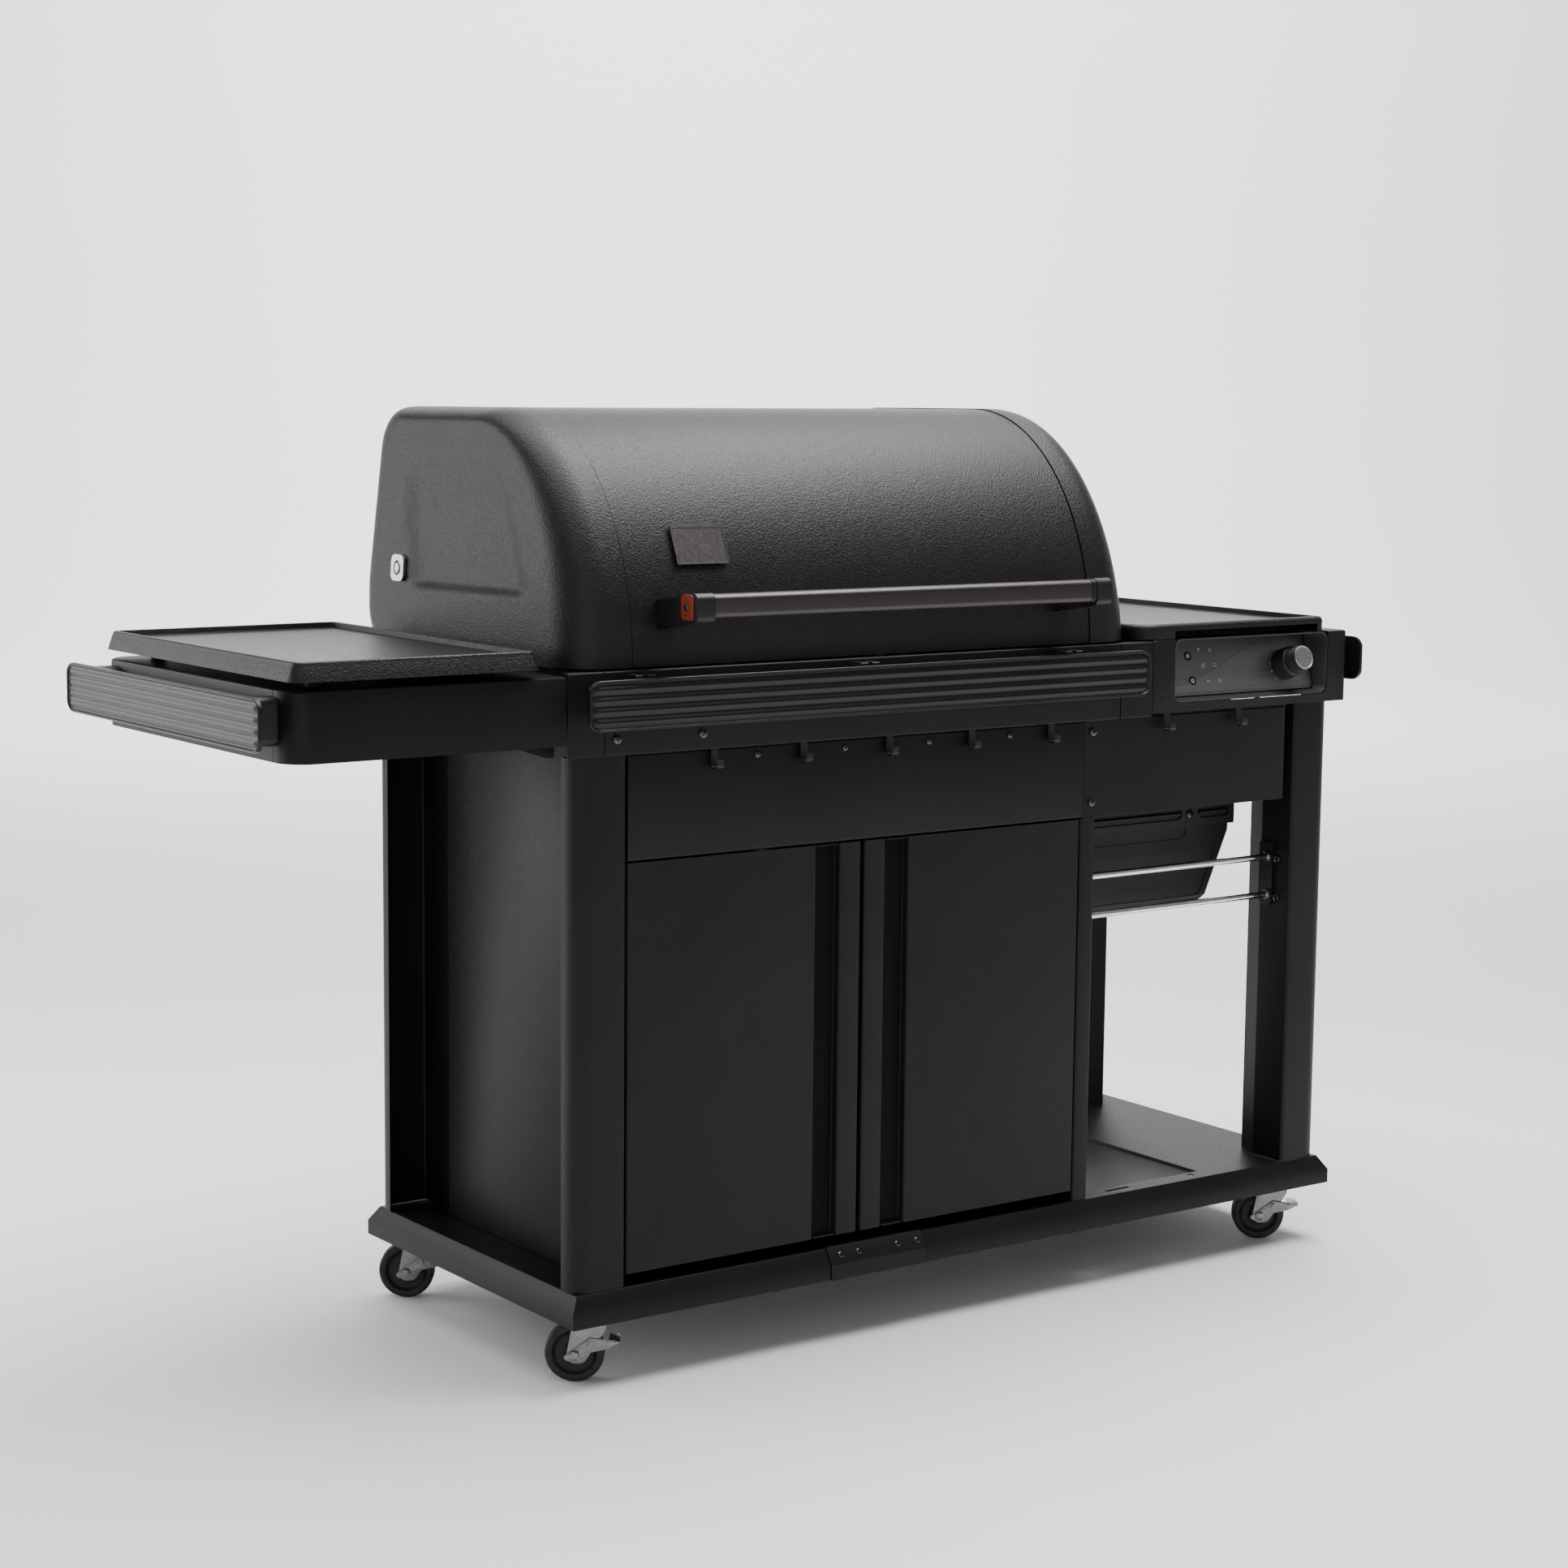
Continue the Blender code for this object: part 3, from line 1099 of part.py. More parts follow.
def fork_mesh():
    crown = cylinder("caster_fork", (0.0, 0.0), CROWN_RADIUS, "Z", CROWN_BOTTOM, CASTER_TOP,
                     ZINC, 24)
    foot = WHEEL_RADIUS - 0.012
    shoulder = 0.072
    head = CROWN_BOTTOM + 0.0065
    cheek = fillet([(-0.017, head), (-0.017, shoulder), (CASTER_TRAIL - 0.012, foot),
                    (CASTER_TRAIL + 0.012, foot), (0.027, shoulder), (0.021, head)],
                   [0.002, 0.010, 0.011, 0.011, 0.010, 0.002], 3, closed=True)
    pieces = []
    for index, middle in enumerate((-FORK_HALF, FORK_HALF)):
        pieces.append(plate("cheek_%d" % index, cheek, "Y", middle - FORK_SHEET / 2,
                            middle + FORK_SHEET / 2, ZINC))
    pieces.append(cylinder("axle", (CASTER_TRAIL, WHEEL_RADIUS), AXLE_RADIUS, "Y",
                           -FORK_HALF - 0.0012, FORK_HALF + 0.0012, ZINC, 16))
    join(crown, *pieces)
    return as_mesh(crown)


def wheel_mesh():
    edge = 0.003
    profile = [
        (AXLE_RADIUS + GAP, WHEEL_HALF + 0.001), (0.013, WHEEL_HALF + 0.001),
        (0.014, 0.0075), (0.025, 0.0065), (0.028, 0.0105),
        (WHEEL_RADIUS - edge, WHEEL_HALF), (WHEEL_RADIUS, WHEEL_HALF - edge),
    ]
    mirrored = [(radius, -height) for radius, height in reversed(profile)]
    return as_mesh(turned("caster_wheel", profile + mirrored, RUBBER, 24))


PEDAL_PIVOT = Vector((0.002, 0.0, 0.052))


def pedal_mesh():
    """The brake lever on the outer cheek, with a foot pad in front of the fork."""
    side = FORK_HALF + FORK_SHEET / 2 + GAP
    lever = fillet([(-0.034, 0.001), (-0.020, -0.006), (0.012, -0.013), (0.030, -0.023),
                    (0.036, -0.017), (0.018, -0.003), (0.002, 0.008), (-0.034, 0.0045)],
                   0.0015, 2, closed=True)
    pedal = plate("caster_pedal", lever, "Y", side, side + 0.002, ZINC)
    pad = box("pedal_pad", (-0.036, -side + 0.002, 0.0005), (-0.022, side + 0.001, 0.0035), ZINC,
              0.001)
    join(pedal, pad)
    return as_mesh(pedal)


fork_pattern = fork_mesh()
wheel_pattern = wheel_mesh()
wheel_pattern.data.transform(Matrix.Rotation(math.pi / 2, 4, "X"))
pedal_pattern = pedal_mesh()
for pattern in (fork_pattern, pedal_pattern):
    pattern.data.transform(pattern.matrix_world)
    pattern.matrix_world = Matrix.Identity(4)

corner_names = (("front_left", 0, 0), ("front_right", 1, 0), ("rear_left", 0, 1),
                ("rear_right", 1, 1))
for corner, at_right, at_back in corner_names:
    x = BASE_LENGTH - CASTER_INSET[0] if at_right else CASTER_INSET[0]
    y = BASE_DEPTH - CASTER_INSET[1] if at_back else CASTER_INSET[1]
    stand = Matrix.Translation((x, y, 0.0)) @ Matrix.Rotation(CASTER_HEADING, 4, "Z")
    places = (
        ("caster_fork_", fork_pattern, Vector()),
        ("caster_wheel_", wheel_pattern, Vector((CASTER_TRAIL, 0.0, WHEEL_RADIUS))),
        ("caster_pedal_", pedal_pattern, PEDAL_PIVOT),
    )
    for prefix, pattern, offset in places:
        piece = bpy.data.objects.new(prefix + corner, pattern.data)
        parts.objects.link(piece)
        piece.matrix_world = stand @ Matrix.Translation(offset)
for pattern in (fork_pattern, wheel_pattern, pedal_pattern):
    bpy.data.objects.remove(pattern, do_unlink=True)

# ---------------------------------------------------------------- centre the grill
frame = bpy.data.objects.new("grill_frame", None)
parts.objects.link(frame)
frame.location = -GRILL_CENTRE
for obj in list(parts.objects) + list(cutters.objects):
    if obj.parent is None and obj is not frame:
        obj.parent = frame
bpy.context.view_layer.update()
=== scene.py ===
"""Looks of the pellet smoker grill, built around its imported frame.

Lengths are metres.  Pieces are drawn in the grill's plan, as the CAD does: X from the left
end of the base, Y back from its front edge and Z up from the floor.  plan() gives a CAD
node's box there, and show() moves a finished piece into the frame.
"""
import json
import math

import bmesh
import bpy
from mathutils import Matrix, Vector

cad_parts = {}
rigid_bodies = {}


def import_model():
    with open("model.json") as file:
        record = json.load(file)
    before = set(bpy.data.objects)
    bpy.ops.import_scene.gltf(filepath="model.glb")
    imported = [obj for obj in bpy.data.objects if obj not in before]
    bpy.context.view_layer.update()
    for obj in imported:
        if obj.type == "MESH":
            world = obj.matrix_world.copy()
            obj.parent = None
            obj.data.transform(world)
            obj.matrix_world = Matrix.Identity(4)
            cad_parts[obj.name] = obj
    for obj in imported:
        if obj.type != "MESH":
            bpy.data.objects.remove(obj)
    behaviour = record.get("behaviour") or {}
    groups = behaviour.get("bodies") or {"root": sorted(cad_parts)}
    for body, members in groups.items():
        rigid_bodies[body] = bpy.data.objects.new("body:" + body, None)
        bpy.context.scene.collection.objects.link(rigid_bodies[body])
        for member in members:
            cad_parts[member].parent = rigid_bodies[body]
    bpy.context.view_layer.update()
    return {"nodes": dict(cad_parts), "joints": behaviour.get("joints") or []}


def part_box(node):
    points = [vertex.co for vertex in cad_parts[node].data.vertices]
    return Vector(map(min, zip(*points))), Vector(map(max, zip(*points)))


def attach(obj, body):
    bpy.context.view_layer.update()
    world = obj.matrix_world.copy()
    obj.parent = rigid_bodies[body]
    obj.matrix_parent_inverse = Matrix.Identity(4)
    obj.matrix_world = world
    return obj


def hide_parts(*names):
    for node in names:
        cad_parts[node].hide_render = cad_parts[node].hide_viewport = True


for old in list(bpy.data.objects):
    bpy.data.objects.remove(old, do_unlink=True)
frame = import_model()

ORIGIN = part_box("base_left")[0].copy()
ORIGIN.z = 0.0
JOINTS = {joint["name"]: joint for joint in frame["joints"]}
SHEET = 0.002
GAP = 0.0003
MIDDLE = (0.0, 0.0)


def plan(node):
    """Lowest and highest corner of a CAD node, in the plan."""
    return tuple(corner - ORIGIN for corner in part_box(node))


def joint_place(name):
    return Vector(JOINTS[name]["pos_m"]) - ORIGIN


# ---------------------------------------------------------------- materials
class Shader:
    """A procedural material: Principled BSDF fed by noise in the object's own metres."""

    def __init__(self, name, slot, colour, roughness, metallic=0.0, specular=0.5):
        self.material = bpy.data.materials.new(name)
        self.material.use_nodes = True
        self.material["slot"] = slot
        self.nodes = self.material.node_tree.nodes
        self.links = self.material.node_tree.links
        self.bsdf = self.nodes["Principled BSDF"]
        self.bsdf.inputs["Base Color"].default_value = (*colour, 1.0)
        self.bsdf.inputs["Roughness"].default_value = roughness
        self.bsdf.inputs["Metallic"].default_value = metallic
        self.bsdf.inputs["Specular IOR Level"].default_value = specular
        self.colour = colour
        self.roughness = roughness
        self.coords = self.nodes.new("ShaderNodeTexCoord")
        self.relief = None

    def noise(self, scale, detail=3.0, stretch=(1.0, 1.0, 1.0), rough=0.5):
        mapping = self.nodes.new("ShaderNodeMapping")
        mapping.inputs["Scale"].default_value = stretch
        self.links.new(self.coords.outputs["Object"], mapping.inputs["Vector"])
        noise = self.nodes.new("ShaderNodeTexNoise")
        noise.inputs["Scale"].default_value = scale
        noise.inputs["Detail"].default_value = detail
        noise.inputs["Roughness"].default_value = rough
        self.links.new(mapping.outputs["Vector"], noise.inputs["Vector"])
        return noise.outputs["Fac"]

    def span(self, source, low, high, from_low=0.3, from_high=0.7):
        """Carry a 0..1 pattern to a range of values."""
        node = self.nodes.new("ShaderNodeMapRange")
        node.inputs["From Min"].default_value = from_low
        node.inputs["From Max"].default_value = from_high
        node.inputs["To Min"].default_value = low
        node.inputs["To Max"].default_value = high
        self.links.new(source, node.inputs["Value"])
        return node.outputs["Result"]

    def tint(self, source, share, other=None):
        """Vary the colour by a share of itself, or towards another colour."""
        mix = self.nodes.new("ShaderNodeMix")
        mix.data_type = "RGBA"
        low = tuple(c * (1 - share) for c in self.colour)
        high = other or tuple(c * (1 + share) for c in self.colour)
        mix.inputs["A"].default_value = (*low, 1.0)
        mix.inputs["B"].default_value = (*high, 1.0)
        self.links.new(self.span(source, 0.0, 1.0), mix.inputs["Factor"])
        self.links.new(mix.outputs["Result"], self.bsdf.inputs["Base Color"])
        return self

    def gloss(self, source, spread):
        low, high = self.roughness - spread, self.roughness + spread
        self.links.new(self.span(source, low, high), self.bsdf.inputs["Roughness"])
        return self

    def bump(self, source, distance, strength=1.0):
        node = self.nodes.new("ShaderNodeBump")
        node.inputs["Strength"].default_value = strength
        node.inputs["Distance"].default_value = distance
        self.links.new(source, node.inputs["Height"])
        if self.relief is not None:
            self.links.new(self.relief, node.inputs["Normal"])
        self.relief = node.outputs["Normal"]
        self.links.new(self.relief, self.bsdf.inputs["Normal"])
        return self


def powder_coat(name, slot, colour, roughness, grain, relief, specular):
    """Paint with a fine stipple, a slower orange peel and faint unevenness."""
    shader = Shader(name, slot, colour, roughness, specular=specular)
    shader.tint(shader.noise(7.0, 3.0), 0.20)
    shader.gloss(shader.noise(grain * 0.7, 2.0), 0.06)
    shader.bump(shader.noise(grain * 0.3, 2.0), relief, 0.25)
    shader.bump(shader.noise(grain, 2.0, rough=0.6), relief)
    return shader.material


def brushed(name, slot, colour, roughness, stretch, relief):
    """Metal with fine lines along the axis whose stretch is smallest."""
    shader = Shader(name, slot, colour, roughness, metallic=1.0)
    lines = shader.noise(1.0, 4.0, stretch, 0.7)
    shader.tint(lines, 0.16)
    shader.gloss(shader.noise(1.0, 3.0, [side * 0.45 for side in stretch]), 0.07)
    shader.bump(lines, relief)
    return shader.material


def plated(name, slot, colour, roughness):
    """Plated metal: soft clouds in its shine and a few fine pits."""
    shader = Shader(name, slot, colour, roughness, metallic=1.0)
    shader.tint(shader.noise(90.0, 4.0), 0.10)
    shader.gloss(shader.noise(260.0, 3.0), 0.06)
    shader.bump(shader.noise(900.0, 2.0), 0.00003)
    return shader.material


def moulded(name, slot, colour, roughness, grain, relief):
    """Moulded plastic with its fine eroded grain."""
    shader = Shader(name, slot, colour, roughness, specular=0.35)
    shader.tint(shader.noise(20.0, 3.0), 0.12)
    shader.gloss(shader.noise(grain * 0.5, 3.0), 0.06)
    shader.bump(shader.noise(grain, 3.0, rough=0.7), relief)
    return shader.material


def sheet_steel(name, slot):
    """Bare sheet steel, browned a little by heat."""
    shader = Shader(name, slot, (0.36, 0.35, 0.33), 0.38, metallic=1.0)
    shader.tint(shader.noise(11.0, 5.0), 0.25, (0.42, 0.36, 0.28))
    shader.gloss(shader.noise(60.0, 4.0), 0.10)
    shader.bump(shader.noise(500.0, 2.0), 0.00004)
    return shader.material


def tyre_rubber(name, slot):
    """Black rubber with a dusty bloom."""
    shader = Shader(name, slot, (0.018, 0.018, 0.018), 0.62, specular=0.3)
    shader.tint(shader.noise(55.0, 5.0), 0.3, (0.030, 0.029, 0.028))
    shader.gloss(shader.noise(140.0, 3.0), 0.08)
    shader.bump(shader.noise(1300.0, 3.0), 0.00006)
    return shader.material


PAINT = powder_coat("lid_powder_coat", "black_paint", (0.0056, 0.0056, 0.0058), 0.40, 430.0,
                    0.00085, 0.30)
PANEL_PAINT = powder_coat("panel_powder_coat", "black_paint", (0.0058, 0.0059, 0.0061), 0.44,
                          800.0, 0.00020, 0.19)
# Near-black paint, much darker than the panel paint: painted shade for the door channels, the gap
# round the control panel's face and the lid seams.
SHADE_PAINT = powder_coat("channel_painted_shade", "black_paint", (0.0018, 0.0018, 0.0019), 0.55,
                          800.0, 0.00020, 0.08)
RAIL_PAINT = powder_coat("rail_powder_coat", "black_paint", (0.0060, 0.0060, 0.0060), 0.34,
                         620.0, 0.00012, 0.28)
SATIN = powder_coat("satin_cap_paint", "satin_black", (0.0076, 0.0075, 0.0075), 0.40, 1500.0,
                    0.00007, 0.30)
BADGE_METAL = plated("badge_metal", "satin_black", (0.120, 0.113, 0.110), 0.36)
PANEL_METAL = brushed("brushed_dark_panel", "dark_panel", (0.225, 0.220, 0.220), 0.42,
                      (16.0, 1500.0, 1500.0), 0.00003)
SWOOSH_METAL = brushed("brushed_panel_lower", "dark_panel", (0.265, 0.258, 0.256), 0.44,
                       (16.0, 1500.0, 1500.0), 0.00003)
HANDLE_METAL = brushed("dark_handle_metal", "handle_metal", (0.070, 0.062, 0.060), 0.40,
                       (14.0, 1400.0, 1400.0), 0.00003)
CHROME = plated("chrome", "chrome", (0.78, 0.78, 0.79), 0.12)
ZINC = plated("zinc_plate", "zinc", (0.20, 0.20, 0.21), 0.28)
SILVER = brushed("satin_silver", "silver", (0.46, 0.45, 0.45), 0.32, (700.0, 700.0, 60.0),
                 0.00002)
STEEL = sheet_steel("sheet_steel", "steel")
RUBBER = tyre_rubber("black_rubber", "rubber")
PLASTIC = moulded("black_plastic", "black_plastic", (0.0105, 0.0105, 0.0110), 0.50, 1100.0,
                  0.00012)
BOLT_BLACK = plated("blackened_screw", "satin_black", (0.085, 0.085, 0.087), 0.24)
ACCENT = moulded("orange_red_insert", "accent", (0.17, 0.024, 0.011), 0.38, 1500.0, 0.00004)
BEZEL_GREY = moulded("bezel_plastic", "black_plastic", (0.030, 0.030, 0.031), 0.55, 1300.0,
                     0.00008)
INK = moulded("pale_print", "silver", (0.50, 0.50, 0.50), 0.5, 1800.0, 0.00001)
GRATE_IRON = powder_coat("enamelled_grate", "steel", (0.030, 0.029, 0.028), 0.30, 300.0,
                         0.00025, 0.5)


# ---------------------------------------------------------------- shape helpers
def turn_to(axis):
    """Rotation that carries local Z to the named axis."""
    turns = {
        "X": ((0, 0, 1), (1, 0, 0), (0, 1, 0)),
        "Y": ((1, 0, 0), (0, 0, -1), (0, 1, 0)),
        "Z": ((1, 0, 0), (0, 1, 0), (0, 0, 1)),
    }
    return Matrix(turns[axis]).to_4x4()


def centre_on(axis, lo, hi):
    """Matrix for a shape drawn across an axis and centred between lo and hi on it."""
    middle = {"X": Vector((1, 0, 0)), "Y": Vector((0, 1, 0)), "Z": Vector((0, 0, 1))}[axis]
    return Matrix.Translation(middle * (lo + hi) / 2) @ turn_to(axis)


def add_object(name, data, material):
    obj = bpy.data.objects.new(name, data)
    bpy.context.scene.collection.objects.link(obj)
    data.materials.clear()
    data.materials.append(material)
    return obj


def from_bmesh(name, bm, material):
    mesh = bpy.data.meshes.new(name)
    bm.to_mesh(mesh)
    bm.free()
    return add_object(name, mesh, material)


def smooth(obj, degrees=35.0):
    obj.data.shade_smooth()
    obj.data.set_sharp_from_angle(angle=math.radians(degrees))
    return obj


def bevel(obj, width, segments=3):
    """Round the edges; flat faces keep flat shading beside the rounding."""
    mod = obj.modifiers.new("edges", "BEVEL")
    mod.width = width
    mod.segments = segments
    mod.limit_method = "ANGLE"
    mod.angle_limit = math.radians(35.0)
    mod.harden_normals = True
    obj.data.shade_smooth()
    return obj


def as_mesh(obj):
    """Replace an object with its evaluated mesh, welded where caps lie loose."""
    bpy.context.view_layer.update()
    graph = bpy.context.evaluated_depsgraph_get()
    mesh = bpy.data.meshes.new_from_object(obj.evaluated_get(graph), depsgraph=graph)
    bm = bmesh.new()
    bm.from_mesh(mesh)
    bmesh.ops.remove_doubles(bm, verts=bm.verts, dist=1e-6)
    bmesh.ops.recalc_face_normals(bm, faces=bm.faces)
    bm.to_mesh(mesh)
    bm.free()
    name = obj.name
    place = obj.matrix_world.copy()
    material = obj.data.materials[0]
    bpy.data.objects.remove(obj, do_unlink=True)
    made = add_object(name, mesh, material)
    made.name = name
    made.matrix_world = place
    return made


def box(name, lo, hi, material):
    bm = bmesh.new()
    bmesh.ops.create_cube(bm, size=1.0)
    bmesh.ops.scale(bm, vec=[h - l for l, h in zip(lo, hi)], verts=bm.verts)
    obj = from_bmesh(name, bm, material)
    obj.location = [(l + h) / 2 for l, h in zip(lo, hi)]
    return obj


def cylinder(name, centre, radius, axis, lo, hi, material, segments=48):
    """A round bar along an axis from lo to hi; centre gives the other two coordinates."""
    bm = bmesh.new()
    bmesh.ops.create_cone(bm, cap_ends=True, segments=segments, radius1=radius,
                          radius2=radius, depth=hi - lo)
    obj = from_bmesh(name, bm, material)
    place = {"X": (0, *centre), "Y": (centre[0], 0, centre[1]), "Z": (*centre, 0)}[axis]
    obj.matrix_world = Matrix.Translation(place) @ centre_on(axis, lo, hi)
    return smooth(obj)


def fillet(points, radius, segments=6, closed=False):
    """Round the corners of a path; radius is one value or one for each point."""
    count = len(points)
    radii = radius if isinstance(radius, (list, tuple)) else [radius] * count
    out = []
    for index, point in enumerate(points):
        here = Vector(point)
        if radii[index] <= 0 or (not closed and index in (0, count - 1)):
            out.append(here)
            continue
        back = (Vector(points[index - 1]) - here).normalized()
        ahead = (Vector(points[(index + 1) % count]) - here).normalized()
        half = back.angle(ahead) / 2
        centre = here + (back + ahead).normalized() * radii[index] / math.sin(half)
        reach = radii[index] / math.tan(half)
        start = here + back * reach - centre
        end = here + ahead * reach - centre
        first = math.atan2(start.y, start.x)
        sweep = math.atan2(end.y, end.x) - first
        sweep = (sweep + math.pi) % math.tau - math.pi
        for step in range(segments + 1):
            angle = first + sweep * step / segments
            out.append(centre + Vector((math.cos(angle), math.sin(angle))) * radii[index])
    return out


def rectangle(left, right, front, back):
    return [(left, front), (right, front), (right, back), (left, back)]


def rounded_rect(left, right, front, back, radius, segments=6):
    """Corners in turn: front left, front right, back right, back left."""
    return fillet(rectangle(left, right, front, back), radius, segments, closed=True)


def rect_about(centre, half_x, half_y, radius, segments=6):
    x, y = centre
    return rounded_rect(x - half_x, x + half_x, y - half_y, y + half_y, radius, segments)


def circle(centre, radius, segments=40):
    spots = [math.tau * step / segments for step in range(segments)]
    return [(centre[0] + radius * math.cos(a), centre[1] + radius * math.sin(a))
            for a in spots]


def plate(name, outline, axis, lo, hi, material, holes=()):
    """A flat outline with holes, as thick as from lo to hi along an axis."""
    curve = bpy.data.curves.new(name, "CURVE")
    curve.dimensions = "2D"
    curve.fill_mode = "BOTH"
    curve.extrude = (hi - lo) / 2
    for loop in (outline, *holes):
        spline = curve.splines.new("POLY")
        spline.points.add(len(loop) - 1)
        for spot, (a, b) in zip(spline.points, loop):
            spot.co = (a, b, 0.0, 1.0)
        spline.use_cyclic_u = True
    obj = add_object(name, curve, material)
    obj.matrix_world = centre_on(axis, lo, hi)
    return smooth(as_mesh(obj))


def tube(name, points, radius, material, resolution=6):
    """A round bar along straight or bent points."""
    curve = bpy.data.curves.new(name, "CURVE")
    curve.dimensions = "3D"
    curve.bevel_depth = radius
    curve.bevel_resolution = resolution
    curve.use_fill_caps = True
    spline = curve.splines.new("POLY")
    spline.points.add(len(points) - 1)
    for spot, point in zip(spline.points, points):
        spot.co = (*point, 1.0)
    return smooth(as_mesh(add_object(name, curve, material)))


def thicken(obj, thickness, side, even=True):
    """Solidify: side -1 grows inwards, 1 outwards and 0 both ways."""
    mod = obj.modifiers.new("sheet", "SOLIDIFY")
    mod.thickness = thickness
    mod.offset = side
    mod.use_even_offset = even
    return obj


def folded(name, path, axis, lo, hi, material, thickness=SHEET):
    """Folded sheet: a path through the middle of the metal, drawn along an axis."""
    bm = bmesh.new()
    verts = [bm.verts.new((point[0], point[1], (lo - hi) / 2)) for point in path]
    edges = [bm.edges.new(pair) for pair in zip(verts, verts[1:])]
    made = bmesh.ops.extrude_edge_only(bm, edges=edges)["geom"]
    moved = [item for item in made if isinstance(item, bmesh.types.BMVert)]
    bmesh.ops.translate(bm, vec=(0, 0, hi - lo), verts=moved)
    obj = from_bmesh(name, bm, material)
    obj.matrix_world = centre_on(axis, lo, hi)
    return thicken(obj, thickness, 0.0)


def loft(name, rings, material, first=False, last=True, closed=True, guide=None):
    """A skin through rings of equal count; first and last close its ends.

    Its outer side is found from all its faces, or from the faces of the first guide bands.
    """
    bm = bmesh.new()
    rows = [[bm.verts.new(point) for point in ring] for ring in rings]
    count = len(rings[0])
    for low, high in zip(rows, rows[1:]):
        for index in range(count if closed else count - 1):
            after = (index + 1) % count
            bm.faces.new((low[index], low[after], high[after], high[index]))
    if first:
        bm.faces.new(list(reversed(rows[0])))
    if last:
        bm.faces.new(rows[-1])
    middle = sum((vert.co for vert in bm.verts), Vector()) / len(bm.verts)
    bm.normal_update()
    outward = sum((face.calc_center_median() - middle).dot(face.normal) * face.calc_area()
                  for face in list(bm.faces)[:guide * count if guide else None])
    if outward < 0:
        bmesh.ops.reverse_faces(bm, faces=bm.faces)
    return from_bmesh(name, bm, material)


def at_height(outline, height):
    return [(point[0], point[1], height) for point in outline]


def combine(target, pieces, operation):
    """Join or cut with other pieces, which are used up."""
    for piece in pieces:
        mod = target.modifiers.new(operation.lower(), "BOOLEAN")
        mod.operation = operation
        mod.solver = "EXACT"
        mod.object = piece
    target = as_mesh(target)
    for piece in pieces:
        bpy.data.objects.remove(piece, do_unlink=True)
    return target


def cut(target, *pieces):
    return combine(target, pieces, "DIFFERENCE")


def join(target, *pieces):
    return combine(target, pieces, "UNION")


def turned(name, profile, material, steps=56):
    """A turned piece about local Z; the profile runs down its outer side."""
    bm = bmesh.new()
    verts = [bm.verts.new((radius, 0.0, height)) for radius, height in profile]
    for pair in zip(verts, verts[1:]):
        bm.edges.new(pair)
    if profile[0][0] > 0:
        bm.edges.new((verts[-1], verts[0]))
    obj = from_bmesh(name, bm, material)
    mod = obj.modifiers.new("turn", "SCREW")
    mod.steps = steps
    mod.render_steps = steps
    mod.use_merge_vertices = True
    mod.merge_threshold = 0.00001
    return smooth(as_mesh(obj))


def show(obj, body, *stands_for, edge=0.0, segments=3):
    """Round a finished piece's edges, move it into the frame and let it ride on a body."""
    if edge:
        bevel(obj, edge, segments)
    bpy.context.view_layer.update()
    obj.matrix_world = Matrix.Translation(ORIGIN) @ obj.matrix_world
    if stands_for:
        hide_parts(*stands_for)
    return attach(obj, body)


def show_sheet(obj, body, *stands_for, edge=0.0004):
    """Show folded sheet metal with smooth bends and lightly broken edges."""
    show(smooth(as_mesh(obj), 30), body, *stands_for, edge=edge, segments=2)


def facing(place, direction):
    """Matrix that puts local Z along a direction at a place."""
    out = Vector(direction).normalized()
    return Matrix.Translation(place) @ out.to_track_quat("Z", "Y").to_matrix().to_4x4()


def move(piece, matrix):
    piece.matrix_world = matrix @ piece.matrix_world
    return piece


def stand_up(piece, depth):
    """Stand a flat drawing up on its lower edge, at a depth, so that it faces the front."""
    quarter = Matrix.Rotation(math.pi / 2, 4, "X")
    return move(piece, Matrix.Translation((0.0, depth, 0.0)) @ quarter)


# ---------------------------------------------------------------- screws
def screw_mesh(name, radius, material):
    """A pan-head screw with a cross recess; local Z points out of the head."""
    height = radius * 0.55
    dome = [(0.0, height)]
    for step in range(1, 7):
        angle = math.radians(15.0 * step)
        dome.append((radius * math.sin(angle), height * (0.45 + 0.55 * math.cos(angle))))
    dome += [(radius, 0.0), (0.0, 0.0)]
    head = turned(name, dome, material, 32)
    arms = []
    for index, turn in enumerate((0.0, math.pi / 2)):
        arm = box("recess_%d" % index, (-radius * 0.62, -radius * 0.13, height * 0.35),
                  (radius * 0.62, radius * 0.13, height * 1.5), material)
        arm.rotation_euler = (0.0, 0.0, turn)
        arms.append(arm)
    head = cut(head, *arms)
    mesh = head.data
    bpy.data.objects.remove(head, do_unlink=True)
    mesh.shade_smooth()
    mesh.set_sharp_from_angle(angle=math.radians(30.0))
    return mesh


SCREW = screw_mesh("pan_head", 0.0060, BOLT_BLACK)
SMALL_SCREW = screw_mesh("small_pan_head", 0.0042, BOLT_BLACK)


def screw(name, mesh, place, direction, body, turn=0.35):
    obj = bpy.data.objects.new(name, mesh)
    bpy.context.scene.collection.objects.link(obj)
    obj.matrix_world = facing(place, direction) @ Matrix.Rotation(turn, 4, "Z")
    return show(obj, body)


# ---------------------------------------------------------------- base
left_lo, left_hi = plan("base_left")
right_lo, right_hi = plan("base_right")
BASE_BOTTOM, BASE_TOP = left_lo.z, left_hi.z
BASE_DEPTH = left_hi.y
CHAMFER = 0.0125
UPRIGHT = 0.020                 # height of the base's upright edge
POCKET = (0.875, 1.093, 0.043, 0.470)
POCKET_STEPS = ((0.0, -0.0012), (0.0008, 0.0), (0.0032, 0.003), (0.0040, 0.0042))


